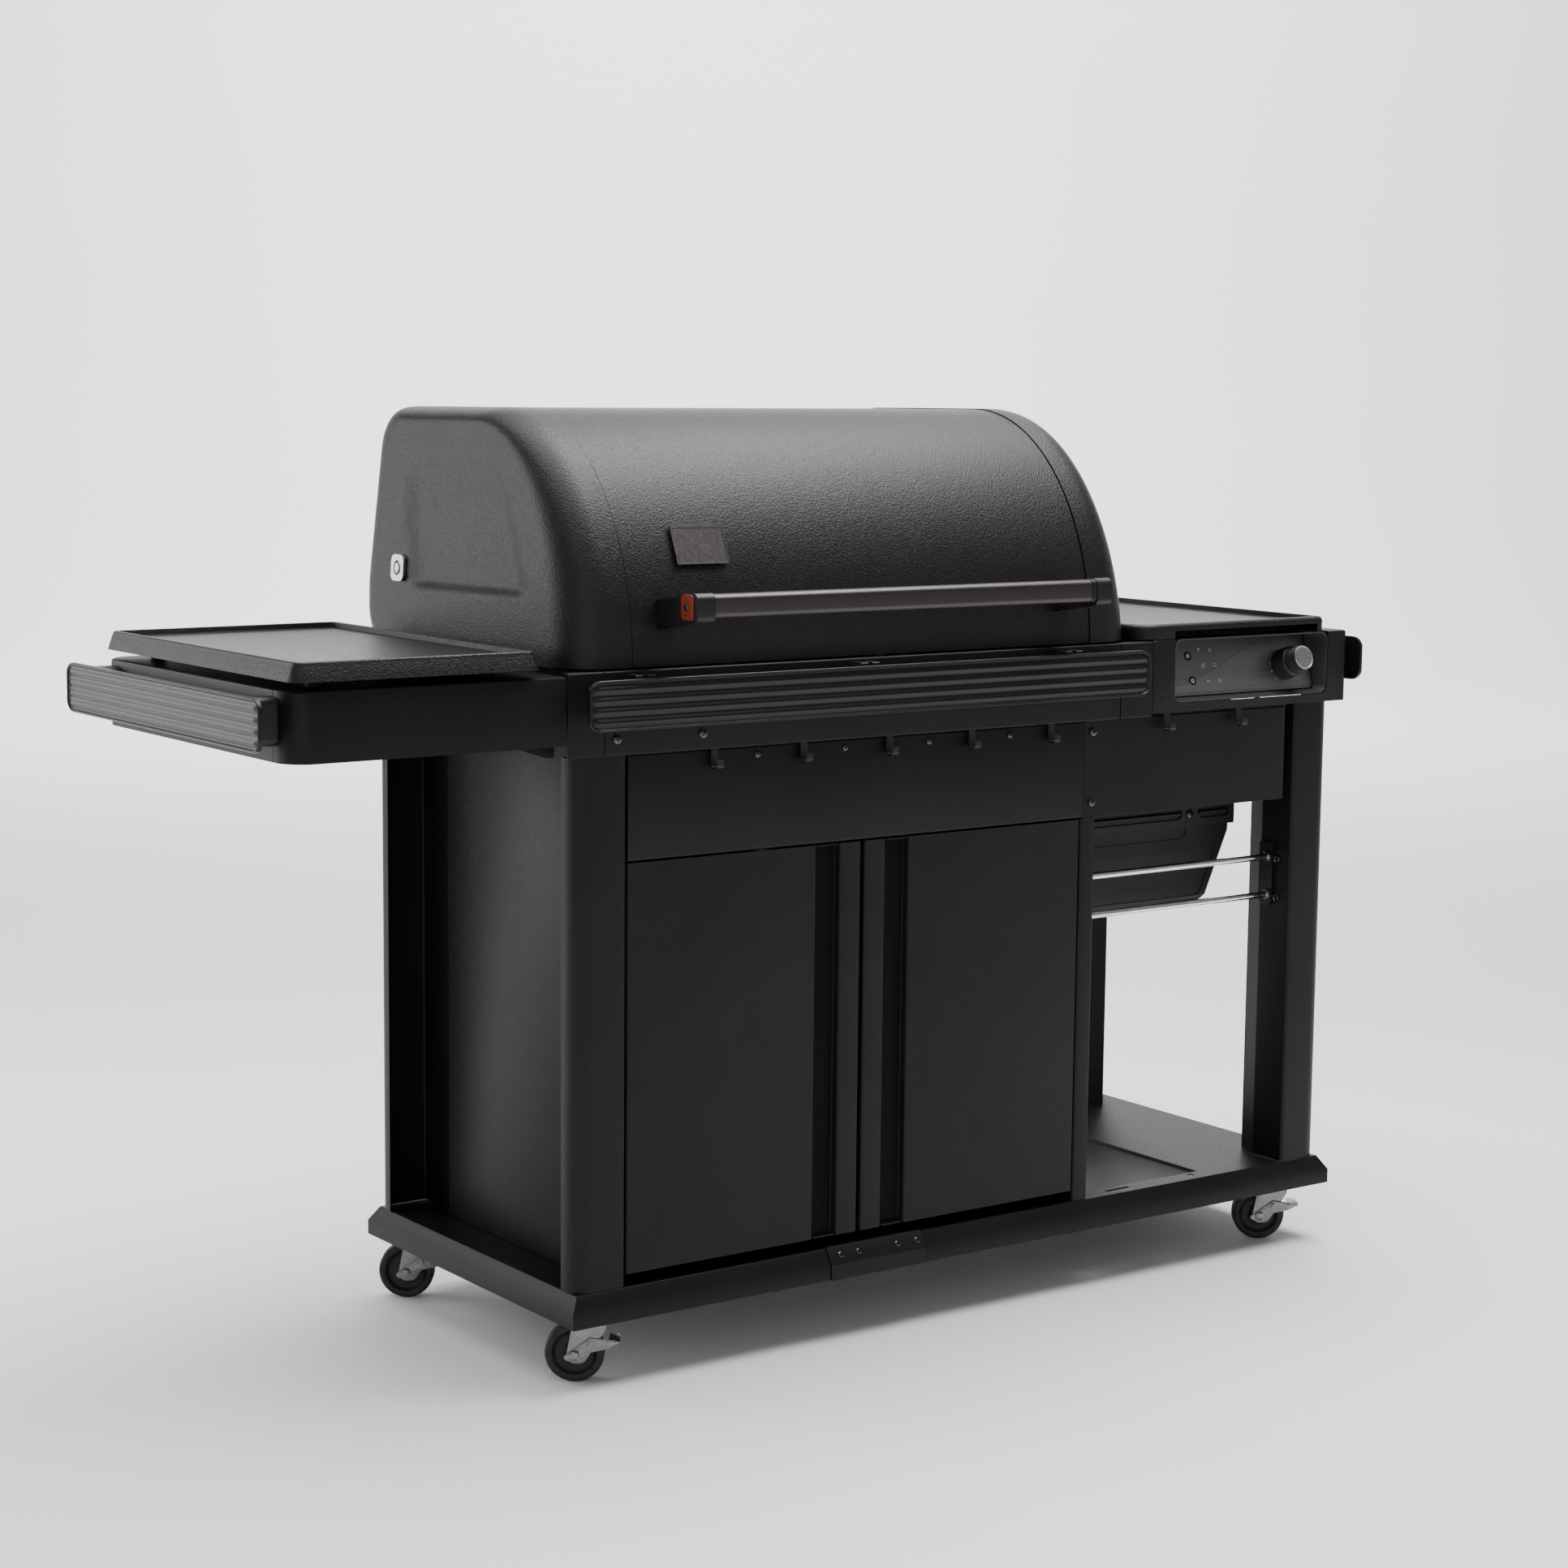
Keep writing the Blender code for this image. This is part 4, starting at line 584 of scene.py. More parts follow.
def base_rings(left, right, inset_left, inset_right):
    rings = []
    levels = ((BASE_BOTTOM, 0.0), (BASE_BOTTOM + UPRIGHT, 0.0), (BASE_TOP, CHAMFER))
    for height, step in levels:
        corners = rectangle(left + step * inset_left, right - step * inset_right, step,
                            BASE_DEPTH - step)
        rings.append(at_height(corners, height))
    return rings


base_left = loft("base_left_sheet", base_rings(left_lo.x, left_hi.x, 1, 0), PANEL_PAINT)
base_left = as_mesh(thicken(base_left, SHEET, -1))
show(base_left, "grill", "base_left", edge=0.0011)

right_rings = base_rings(right_lo.x, right_hi.x, 0, 1)
for sink, shrink in POCKET_STEPS:
    x0, x1, y0, y1 = POCKET
    corners = rectangle(x0 + shrink, x1 - shrink, y0 + shrink, y1 - shrink)
    right_rings.append(at_height(corners, BASE_TOP - sink))
base_right = as_mesh(thicken(loft("base_right_sheet", right_rings, PANEL_PAINT), SHEET, -1))
HOLE = (1.070, 0.0300)
SLOT = (0.905, 0.950, 0.0270, 0.0330)
base_right = cut(base_right,
                 cylinder("floor_hole", HOLE, 0.005, "Z", BASE_TOP - 0.01, BASE_TOP + 0.01,
                          PANEL_PAINT, 24),
                 plate("floor_slot", rounded_rect(*SLOT, 0.0029, 5), "Z", BASE_TOP - 0.01,
                       BASE_TOP + 0.01, PANEL_PAINT))
show(base_right, "grill", "base_right", edge=0.0009)

cover_lo, cover_hi = plan("base_joint_plate")
COVER_SHEET = 0.0015
lift = GAP + COVER_SHEET / 2
chamfer_lift = lift * 0.45
cover_path = fillet([(-lift, BASE_BOTTOM), (-lift, BASE_BOTTOM + UPRIGHT + chamfer_lift),
                     (CHAMFER - chamfer_lift, BASE_TOP + lift), (cover_hi.y, BASE_TOP + lift)],
                    0.0012, 3)
cover = folded("base_cover_plate", cover_path, "X", cover_lo.x, cover_hi.x, PANEL_PAINT,
               COVER_SHEET)
show(as_mesh(cover), "grill", "base_joint_plate", edge=0.0004)
CHAMFER_OUT = Vector((0.0, -UPRIGHT, CHAMFER))
COVER_SCREWS = (0.12, 0.31, 0.72, 0.93)     # as shares of the cover's length
for index, share in enumerate(COVER_SCREWS):
    x = cover_lo.x + (cover_hi.x - cover_lo.x) * share
    place = (x, CHAMFER * 0.5 - lift, BASE_TOP - 0.5 * UPRIGHT + lift)
    screw("cover_screw_%d" % index, SMALL_SCREW, place, CHAMFER_OUT, "grill", 0.4 * index)

# ---------------------------------------------------------------- legs and panels
LEG_CORNER = 0.024
LEG_RETURN = 0.047
WEB_DEPTH = 0.073
WEB_END = 0.112
WEB_FLARE = 0.015
FACE_Y = plan("leg_front_left")[0].y
SHEET_FACE = FACE_Y + SHEET / 2
BASE_LENGTH = right_hi.x


def leg(node):
    """A folded corner leg, like its CAD node but with round bends."""
    lo, hi = plan("leg_front_left")
    side = lo.x + SHEET / 2
    web = hi.x - SHEET / 2
    path = [(side, LEG_RETURN), (side, SHEET_FACE), (web, SHEET_FACE), (web, WEB_DEPTH),
            (web - WEB_FLARE, WEB_END)]
    path = fillet(path, [0, LEG_CORNER, 0.004, 0.008, 0], 9)
    if "right" in node:
        path = [(BASE_LENGTH - x, y) for x, y in path]
    if "rear" in node:
        path = [(x, BASE_DEPTH - y) for x, y in path]
    lo, hi = plan(node)
    show_sheet(folded(node + "_sheet", path, "Z", lo.z, hi.z, PANEL_PAINT), "grill", node)


for node in ("leg_front_left", "leg_front_right", "leg_rear_left", "leg_rear_right"):
    leg(node)

post_lo, post_hi = plan("cabinet_post")
post_path = [(post_lo.x + SHEET / 2, post_hi.y), (post_lo.x + SHEET / 2, SHEET_FACE),
             (post_hi.x - SHEET / 2, SHEET_FACE), (post_hi.x - SHEET / 2, post_hi.y)]
post = folded("cabinet_post_sheet", fillet(post_path, 0.003, 5), "Z", post_lo.z, post_hi.z,
              PANEL_PAINT)
show_sheet(post, "grill", "cabinet_post")

apron_lo, apron_hi = plan("apron_main")
apron_path = [(apron_hi.y, apron_hi.z - SHEET / 2), (SHEET_FACE, apron_hi.z - SHEET / 2),
              (SHEET_FACE, apron_lo.z + SHEET / 2), (apron_hi.y, apron_lo.z + SHEET / 2)]
apron = folded("apron_main_sheet", fillet(apron_path, 0.002, 4), "X", apron_lo.x, apron_hi.x,
               PANEL_PAINT)
show_sheet(apron, "grill", "apron_main", edge=0.0005)

end_lo, end_hi = plan("apron_right")
APRON_CORNER = 0.012
end_path = [(end_lo.x, SHEET_FACE), (end_hi.x - SHEET / 2, SHEET_FACE),
            (end_hi.x - SHEET / 2, end_hi.y)]
apron_end = folded("apron_right_sheet", fillet(end_path, APRON_CORNER, 9), "Z", end_lo.z,
                   end_hi.z, PANEL_PAINT)
show_sheet(apron_end, "grill", "apron_right", edge=0.0005)

FRONT = Vector((0.0, -1.0, 0.0))
POST_SCREW_X = 0.8477
for index, height in enumerate((0.788, 0.690)):
    screw("apron_screw_%d" % index, SCREW, (POST_SCREW_X, FACE_Y, height), FRONT, "grill",
          0.2 + index)
for index, height in enumerate((0.760, 0.683)):
    screw("apron_end_screw_%d" % index, SMALL_SCREW, (end_hi.x + SHEET, 0.033, height),
          (-1, 0, 0), "grill", 0.3 + index)


def dress_node(name, material, edge=0.0006):
    """A CAD node that keeps its shape, with its edges rounded and its material set."""
    node = frame["nodes"][name]
    node.data.materials.clear()
    node.data.materials.append(material)
    weld = node.modifiers.new("weld", "WELD")
    weld.merge_threshold = 0.00002
    if edge:
        bevel(node, edge, 2)
    return node


for name in ("side_panel_left", "side_panel_right", "back_panel"):
    dress_node(name, PANEL_PAINT)

# ---------------------------------------------------------------- front beam and hooks
beam_lo, beam_hi = plan("front_beam")
BEAM_TOP = beam_hi.z
BEAM_BOTTOM = plan("beam_end_right")[0].z
BOX_BOTTOM = BEAM_BOTTOM + 0.0045
BEAM_SPLIT = 0.047
BEAM_SEAM = 0.0008
FLANGE = plan("beam_end_right")[1].y
beam_face = plan("beam_end_right")[0].y + SHEET / 2
beam_path = fillet([(FLANGE, BEAM_TOP - SHEET / 2), (beam_face, BEAM_TOP - SHEET / 2),
                    (beam_face, BEAM_BOTTOM + SHEET / 2), (FLANGE, BEAM_BOTTOM + SHEET / 2)],
                   0.002, 5)
stretches = (("beam_left_end", beam_lo.x, BEAM_SPLIT - BEAM_SEAM, ("front_beam",)),
             ("beam_main", BEAM_SPLIT, beam_hi.x, ()),
             ("beam_right_end", *[c.x for c in plan("beam_end_right")], ("beam_end_right",)))
for name, start, end, nodes in stretches:
    show_sheet(folded(name, beam_path, "X", start, end, PANEL_PAINT), "grill", *nodes)
BEAM_SCREW_Z = 0.825
for index, x in enumerate((0.0646, 0.192)):
    screw("beam_screw_%d" % index, SCREW, (x, beam_face - SHEET / 2, BEAM_SCREW_Z), FRONT,
          "grill", index)

HOOK_WIDTH = 0.011
HOOK_DROP = 0.024
HOOK_OUT = 0.013
HOOK_TIP = 0.011
HOOK_SHEET = 0.0018
FIRST_HOOK = 0.213
HOOK_SPACING = 0.1388
BOX_HOOKS = (0.978, 1.116)


def hook(name, middle, start, shank):
    drop = start - HOOK_DROP
    tip = shank - HOOK_OUT
    path = fillet([(shank, start + 0.0005), (shank, drop), (tip, drop), (tip, drop + HOOK_TIP)],
                  0.0045, 7)
    strip = folded(name, path, "X", middle - HOOK_WIDTH / 2, middle + HOOK_WIDTH / 2, SATIN,
                   HOOK_SHEET)
    show_sheet(strip, "grill")


hook_middles = [FIRST_HOOK + index * HOOK_SPACING for index in range(5)]
for index, x in enumerate(hook_middles):
    hook("beam_hook_%d" % index, x, BEAM_BOTTOM, 0.0090)
for index, x in enumerate(BOX_HOOKS):
    hook("box_hook_%d" % index, x, BOX_BOTTOM, 0.0063)
for index in range(4):
    middle = (hook_middles[index] + hook_middles[index + 1]) / 2
    screw("apron_rivet_%d" % index, SMALL_SCREW, (middle, FACE_Y, 0.792), FRONT, "grill",
          0.7 * index)

# ---------------------------------------------------------------- rails
RAIL_CORNER = 0.017
RAIL_THICK = 0.006
RIDGE_DEPTH = 0.0028
RIM = 0.0048                    # width of the raised rim
EDGE_ROUND = 0.0016
RIDGES = 4
RIDGE_INSET = 0.010             # how far the ridges stop short of the ends


def rail(name, start, end, bottom, top):
    """A ridged rail along local X: a raised rim, and long ridges that fade near the ends."""
    height = top - bottom

    def relief(x, z, low, high):
        inset = min(x - start, end - x, z - low, high - z)
        if inset < EDGE_ROUND:
            return EDGE_ROUND - math.sqrt(EDGE_ROUND ** 2 - (EDGE_ROUND - inset) ** 2)
        if inset < RIM:
            share = (inset - EDGE_ROUND) / (RIM - EDGE_ROUND)
            return RIDGE_DEPTH * (1 - math.cos(math.pi * share)) / 2
        across = (z - bottom - RIM) / (height - 2 * RIM)
        crest = (1 - math.cos(math.tau * RIDGES * across)) / 2
        near = min(x - start, end - x) - RIM
        fade = min(max(near / RIDGE_INSET, 0.0), 1.0)
        return RIDGE_DEPTH * (1 - crest * math.sin(fade * math.pi / 2))

    corner = [RAIL_CORNER * (1 - math.cos(math.radians(9 * step))) for step in range(11)]
    inner = [RAIL_CORNER + 0.0012 * step for step in range(1, 6)]
    stations = corner + inner
    places = [start + s for s in stations] + [end - s for s in reversed(stations)]
    rings = []
    for x in places:
        near = min(x - start, end - x)
        pinch = 0.0
        if near < RAIL_CORNER:
            pinch = RAIL_CORNER - math.sqrt(RAIL_CORNER ** 2 - (RAIL_CORNER - near) ** 2)
        low, high = bottom + pinch, top - pinch
        edges = [EDGE_ROUND * (1 - math.cos(math.radians(22.5 * step))) for step in range(5)]
        edges += [EDGE_ROUND + (RIM - EDGE_ROUND) * step / 4 for step in range(1, 5)]
        middle = 48
        ring = [(x, relief(x, low + e, low, high), low + e) for e in edges]
        for step in range(1, middle):
            z = low + RIM + (high - low - 2 * RIM) * step / middle
            ring.append((x, relief(x, z, low, high), z))
        ring += [(x, relief(x, high - e, low, high), high - e) for e in reversed(edges)]
        ring += [(x, RAIL_THICK, high), (x, RAIL_THICK, low)]
        rings.append(ring)
    return smooth(loft(name, rings, RAIL_PAINT, first=True, last=True), 50)


rail_lo, rail_hi = plan("front_rail")
RAIL_TOP = rail_lo.z + 0.063
front_rail = rail("front_rail_bar", rail_lo.x, rail_hi.x, rail_lo.z, RAIL_TOP)
front_rail.location = (0.0, rail_lo.y, 0.0)
show(front_rail, "grill", "front_rail")
CLIP_SHEET = 0.00132
STAND_HALF = 0.014
STAND_BOTTOM = 0.855
for index, x in enumerate((0.0892, 0.4340, 0.7800)):
    stand = box("rail_stand_%d" % index,
                (x - STAND_HALF, rail_lo.y + RAIL_THICK - 0.0002, STAND_BOTTOM),
                (x + STAND_HALF, beam_face - SHEET / 2, RAIL_TOP - 0.001), SATIN)
    show(stand, "grill", edge=0.0010)
    for side, shift in (("a", -0.009), ("b", 0.009)):
        clip_path = fillet([(rail_lo.y + RAIL_THICK + 0.010, RAIL_TOP - 0.004),
                            (rail_lo.y + RAIL_THICK + 0.010, RAIL_TOP + 0.0022),
                            (beam_face - 0.006, RAIL_TOP + 0.0022)], 0.0015, 4)
        clip = folded("rail_clip_%d%s" % (index, side), clip_path, "X", x + shift - 0.0055,
                      x + shift + 0.0055, SATIN, CLIP_SHEET)
        show(as_mesh(clip), "grill", edge=0.0003)


def side_handle(node, outward, body_face):
    lo, hi = plan(node)
    handle = rail(node + "_bar", lo.y, hi.y, lo.z, hi.z)
    outer = hi.x if outward > 0 else lo.x
    quarter = Matrix.Rotation(outward * math.pi / 2, 4, "Z")
    slide = lo.y + hi.y if outward < 0 else 0.0
    handle.matrix_world = Matrix.Translation((outer, slide, 0.0)) @ quarter
    show(handle, "grill", node)
    ends = sorted((outer - outward * (RAIL_THICK - 0.0002), body_face))
    for index, y in enumerate((lo.y + 0.055, hi.y - 0.055)):
        outline = rounded_rect(y - 0.016, y + 0.016, lo.z + 0.0025, hi.z - 0.0025, 0.009, 8)
        bracket = plate("%s_bracket_%d" % (node, index), outline, "X", *ends, SATIN)
        show(bracket, "grill", edge=0.0015)


shelf_lo, shelf_hi = plan("shelf_frame")
box_lo, box_hi = plan("control_box")
side_handle("left_handle", -1, shelf_lo.x)
side_handle("right_handle", 1, box_hi.x)

# ---------------------------------------------------------------- shelf and tray
SHELF_CORNER = 0.036
shelf_rings = []
for height, step in ((shelf_lo.z, 0.0), (shelf_hi.z - 0.0030, 0.0),
                     (shelf_hi.z - 0.0010, 0.0009), (shelf_hi.z, 0.003)):
    outline = rounded_rect(shelf_lo.x + step, shelf_hi.x - step, shelf_lo.y + step,
                           shelf_hi.y - step, [SHELF_CORNER, 0.003, 0.003, SHELF_CORNER], 12)
    shelf_rings.append(at_height(outline, height))
shelf = as_mesh(thicken(loft("shelf_frame_sheet", shelf_rings, PANEL_PAINT), SHEET, -1))
seam_y = shelf_lo.y + SHELF_CORNER + 0.004
shelf = cut(shelf, box("shelf_seam", (shelf_lo.x - 0.004, seam_y, shelf_lo.z - 0.01),
                       (shelf_lo.x + 0.0012, seam_y + 0.0010, shelf_hi.z + 0.01), PANEL_PAINT))
show(smooth(shelf, 30), "grill", "shelf_frame", edge=0.0004, segments=2)

GUSSET_SHEET = 0.0020
gusset_outline = fillet([(shelf_hi.x - 0.070, shelf_lo.z + 0.002),
                         (shelf_hi.x - 0.001, shelf_lo.z + 0.002),
                         (shelf_hi.x - 0.001, BEAM_BOTTOM), (shelf_hi.x - 0.012, BEAM_BOTTOM)],
                        0.002, 3, closed=True)
gusset = plate("shelf_gusset", gusset_outline, "Z", 0.0, GUSSET_SHEET, PANEL_PAINT)
gusset.matrix_world = Matrix.Identity(4)
show(stand_up(gusset, shelf_lo.y + 0.030), "grill", edge=0.0004)


def notch_skirt(sheet, left, right, top):
    """Take the front of a tray's skirt away between two places, up to a height."""
    bm = bmesh.new()
    bm.from_mesh(sheet.data)
    front = min(vert.co.y for vert in bm.verts)
    for spot, across in (((left, 0, 0), (1, 0, 0)), ((right, 0, 0), (1, 0, 0)),
                         ((0, 0, top), (0, 0, 1))):
        bmesh.ops.bisect_plane(bm, geom=bm.verts[:] + bm.edges[:] + bm.faces[:], plane_co=spot,
                               plane_no=across)
    gone = []
    for face in bm.faces:
        middle = face.calc_center_median()
        if left < middle.x < right and middle.z < top and middle.y < front + SHEET:
            gone.append(face)
    bmesh.ops.delete(bm, geom=gone, context="FACES")
    bm.to_mesh(sheet.data)
    bm.free()


def tray(name, node, flare, corners, bend, notch=()):
    """A pressed tray: skirt, rolled rim and sunk field, with soft bends."""
    lo, hi = plan(node)
    bottom = hi.z - 0.023 if flare else lo.z
    left, right, front, back = lo.x + flare, hi.x - flare, lo.y + flare, hi.y - flare
    rim, sink = bend + 0.005, 0.0075
    steps = [(bottom, -flare), (hi.z - 0.006, -0.0016 if flare else 0.0)]
    for step in range(7):
        angle = math.radians(15.0 * step)
        steps.append((hi.z - bend * (1 - math.sin(angle)), bend * (1 - math.cos(angle))))
    steps += [(hi.z, rim - 0.0020), (hi.z - 0.0006, rim - 0.0008),
              (hi.z - sink + 0.0008, rim + 0.0008), (hi.z - sink, rim + 0.0028)]
    rings = []
    for height, step in steps:
        radii = [max(radius - step, 0.0035) for radius in corners]
        outline = rounded_rect(left + step, right - step, front + step, back - step, radii, 10)
        rings.append(at_height(outline, height))
    sheet = loft(name, rings, PAINT, guide=1)
    if notch:
        notch_skirt(sheet, *notch)
    return as_mesh(thicken(sheet, SHEET, -1, even=not notch))


tray_lo, tray_hi = plan("shelf_tray")
side_tray = tray("side_tray_top", "shelf_tray", 0.007, [0.012] * 4, 0.0030)
show(smooth(side_tray, 40), "shelf_tray", "shelf_tray", edge=0.0004, segments=2)
FOOT_INSET = 0.052
FOOT_TOP = 0.0238
FOOT_PROFILE = [(0.0, FOOT_TOP), (0.010, FOOT_TOP), (0.010, 0.0015), (0.0085, 0.0), (0.0, 0.0)]
for index, (x, y) in enumerate((x, y) for x in (tray_lo.x + FOOT_INSET, tray_hi.x - FOOT_INSET)
                               for y in (tray_lo.y + FOOT_INSET, tray_hi.y - FOOT_INSET)):
    foot = turned("tray_foot_%d" % index, FOOT_PROFILE, RUBBER, 32)
    foot.location = (x, y, shelf_hi.z + GAP)
    show(foot, "shelf_tray")
skirt_out = Vector((0.0, -0.020, 0.0045))
skirt_slot = plate("tray_skirt_slot", rect_about(MIDDLE, 0.052, 0.0068, 0.0066, 8), "Z", 0.0,
                   0.0006, SATIN, [rect_about(MIDDLE, 0.0500, 0.0049, 0.0047, 8)])
skirt_pill = plate("tray_skirt_pill", rect_about(MIDDLE, 0.0075, 0.0030, 0.0029), "Z", 0.0,
                   0.0009, SATIN)
slot_place = Vector((tray_lo.x + 0.086, tray_lo.y + 0.0042, tray_hi.z - 0.0125))
for piece, shift in ((skirt_slot, 0.0), (skirt_pill, -0.030)):
    piece.matrix_world = facing(slot_place + Vector((shift, 0.0, 0.0)), skirt_out)
    show(piece, "shelf_tray", edge=0.0002)

# ---------------------------------------------------------------- hopper
hopper_lo, hopper_hi = plan("hopper")
HOPPER_WALL = 0.003
HOPPER_NECK = 0.956             # left side of the mouth
HOPPER_BASE_RIGHT = 1.160
HOPPER_BASE_BACK = 0.420
hopper_levels = [
    (hopper_hi.z, HOPPER_NECK, hopper_hi.x, hopper_hi.y),
    (0.798, HOPPER_NECK, hopper_hi.x, hopper_hi.y),
    (0.770, hopper_lo.x, hopper_hi.x, hopper_hi.y),
    (0.613, hopper_lo.x, hopper_hi.x, 0.480),
    (hopper_lo.z + 0.008, hopper_lo.x, HOPPER_BASE_RIGHT + 0.004, HOPPER_BASE_BACK + 0.004),
    (hopper_lo.z + 0.002, hopper_lo.x + 0.002, HOPPER_BASE_RIGHT, HOPPER_BASE_BACK),
    (hopper_lo.z, hopper_lo.x + 0.008, HOPPER_BASE_RIGHT - 0.006, HOPPER_BASE_BACK - 0.006),
]
hopper_rings = [at_height(rounded_rect(x0, x1, hopper_lo.y + (0.004 if z < 0.516 else 0.0), y1,
                                       0.010, 6), z)
                for z, x0, x1, y1 in hopper_levels]
hopper = as_mesh(thicken(loft("hopper_shell", hopper_rings, PLASTIC), HOPPER_WALL, -1))
FACE = hopper_lo.y
RECESS_DEPTH = 0.0016
recess = fillet([(0.860, 0.520), (1.146, 0.520), (1.182, 0.6005), (0.860, 0.6005)],
                [0.0, 0.014, 0.012, 0.0], 7, closed=True)
recess_cut = plate("recess_cut", recess, "Z", -RECESS_DEPTH, 0.004, PLASTIC)
step_cut = plate("step_cut", fillet([(0.860, 0.606), (1.110, 0.606), (1.123, 0.622),
                                     (0.860, 0.622)], [0, 0.006, 0.006, 0], 5, closed=True),
                 "Z", -0.0012, 0.004, PLASTIC)
hopper = cut(hopper, stand_up(recess_cut, FACE), stand_up(step_cut, FACE))
show(smooth(hopper, 30), "grill", "hopper", edge=0.0007, segments=3)

FLANGE_FRONT = FACE - 0.0045
FLANGE_HEIGHTS = (0.6235, 0.662)
SLOT_HEIGHTS = (0.6350, 0.6510)
hopper_flange = box("hopper_flange", (hopper_lo.x + 0.001, FLANGE_FRONT, FLANGE_HEIGHTS[0]),
                    (hopper_hi.x + 0.0025, FACE - 0.0002, FLANGE_HEIGHTS[1]), PLASTIC)
FLANGE_SLOTS = (("slot_left", 0.880, 1.1045), ("slot_right", 1.1350, 1.1980))
slots = [stand_up(plate(name, rounded_rect(left, right, *SLOT_HEIGHTS, 0.0078, 8), "Z", -0.004,
                        0.004, PLASTIC), FLANGE_FRONT - 0.0010)
         for name, left, right in FLANGE_SLOTS]
show(cut(hopper_flange, *slots), "grill", edge=0.0010)
for name, left, right in (("slot_rib_left", 0.8810, 1.1010), ("slot_rib_right", 1.1385, 1.1945)):
    line = [(x, FACE - 0.0036, 0.6435) for x in (left, right)]
    show(tube(name, line, 0.0027, PLASTIC, 5), "grill", edge=0.0006)
screw("hopper_screw", SCREW, (1.1195, FLANGE_FRONT, 0.6425), FRONT, "grill", 0.5)

# ---------------------------------------------------------------- control box
WINDOW = (0.990, 1.290)
WINDOW_BOTTOM = 0.820
WINDOW_BACK = 0.075
FILL_HOLE = (0.965, 1.197, 0.135, 0.495)
BOX_WALL = 0.0025
box_rings = []
for height, step in ((BOX_BOTTOM, 0.0), (box_hi.z - 0.0024, 0.0),
                     (box_hi.z - 0.0008, 0.0008), (box_hi.z, 0.0024)):
    outline = rounded_rect(box_lo.x + step, box_hi.x - step, shelf_lo.y + step,
                           shelf_hi.y - step, [0.004, 0.008, 0.012, 0.004], 7)
    box_rings.append(at_height(outline, height))
control_box = thicken(loft("control_box_sheet", box_rings, PAINT), BOX_WALL, -1)
window_cut = plate("window_cut", rounded_rect(*WINDOW, WINDOW_BOTTOM, 0.960, 0.013, 8), "Z",
                   -WINDOW_BACK, 0.02, PAINT)
stand_up(window_cut, 0.0)
INLET = (1.250, 0.862)
INLET_HALF = (0.0150, 0.0120)
INLET_DEPTH = 0.019
control_box = cut(as_mesh(control_box), window_cut,
                  box("fill_cut", (FILL_HOLE[0], FILL_HOLE[2], 0.85),
                      (FILL_HOLE[1], FILL_HOLE[3], 0.95), PAINT),
                  box("inlet_cut", (INLET[0] - 0.017, shelf_hi.y - 0.01, INLET[1] - 0.014),
                      (INLET[0] + 0.017, shelf_hi.y + 0.01, INLET[1] + 0.014), PAINT))
show(smooth(control_box, 30), "grill", "control_box", edge=0.0012, segments=3)
box_floor = box("control_box_floor", (box_lo.x + BOX_WALL, shelf_lo.y + BOX_WALL, BOX_BOTTOM),
                (box_hi.x - BOX_WALL, WINDOW_BACK, BOX_BOTTOM + SHEET), PAINT)
show(box_floor, "grill", edge=0.0004)
gap_lo, gap_hi = plan("apron_right")
gap_strip = box("control_box_foot", (gap_lo.x + 0.004, gap_lo.y + 0.0030, gap_hi.z - 0.0004),
                (gap_hi.x - 0.004, gap_lo.y + 0.0055, BOX_BOTTOM + 0.0004), PAINT)
show(gap_strip, "grill", edge=0.0003)

inlet_outer = rect_about(INLET, 0.0205, 0.0165, 0.003, 5)
inlet_inner = rect_about(INLET, *INLET_HALF, 0.002, 4)
well_outer = rect_about(INLET, 0.0166, 0.0136, 0.002, 4)
for piece in (plate("inlet_frame", inlet_outer, "Z", -0.0018, 0.0, PLASTIC, [inlet_inner]),
              plate("inlet_well", well_outer, "Z", 0.0, INLET_DEPTH, PLASTIC, [inlet_inner]),
              plate("inlet_floor", inlet_inner, "Z", 0.016, INLET_DEPTH, PLASTIC)):
    show(stand_up(piece, shelf_hi.y), "grill", edge=0.0004)
for index, (dx, dz) in enumerate(((-0.0075, 0.0), (0.0, 0.0040), (0.0075, 0.0))):
    x, z = INLET[0] + dx, INLET[1] + dz
    pin = box("inlet_pin_%d" % index, (x - 0.0010, shelf_hi.y - 0.0165, z - 0.0030),
              (x + 0.0010, shelf_hi.y - 0.0045, z + 0.0030), ZINC)
    show(pin, "grill", edge=0.0004)

# ---------------------------------------------------------------- control panel
PANEL_SHEET = 0.0018
PANEL_FOOT = Vector((0.0, 0.0220, 0.8260))
PANEL_HEAD = Vector((0.0, 0.0500, 0.9080))
PANEL_TILT = math.atan2(PANEL_HEAD.y - PANEL_FOOT.y, PANEL_HEAD.z - PANEL_FOOT.z)
PANEL_OUT = Vector((0.0, -math.cos(PANEL_TILT), math.sin(PANEL_TILT)))
PANEL_TURN = Matrix.Rotation(math.pi / 2 - PANEL_TILT, 4, "X")
PANEL_FACE = (WINDOW[0] + 0.006, WINDOW[1] - 0.009)


def on_panel(x, height, out=0.0):
    """A point on the face of the leaning panel, or a little in front of it."""
    share = (height - PANEL_FOOT.z) / (PANEL_HEAD.z - PANEL_FOOT.z)
    spot = PANEL_FOOT.lerp(PANEL_HEAD, share)
    return Vector((x, spot.y, spot.z)) + PANEL_OUT * out


def panel_ring(left, right, low_y, high_y, low_z, high_z, radius):
    outline = rounded_rect(left, right, low_z, high_z, radius, 8)
    slope = (high_y - low_y) / (high_z - low_z)
    return [(x, low_y + (z - low_z) * slope, z) for x, z in outline]


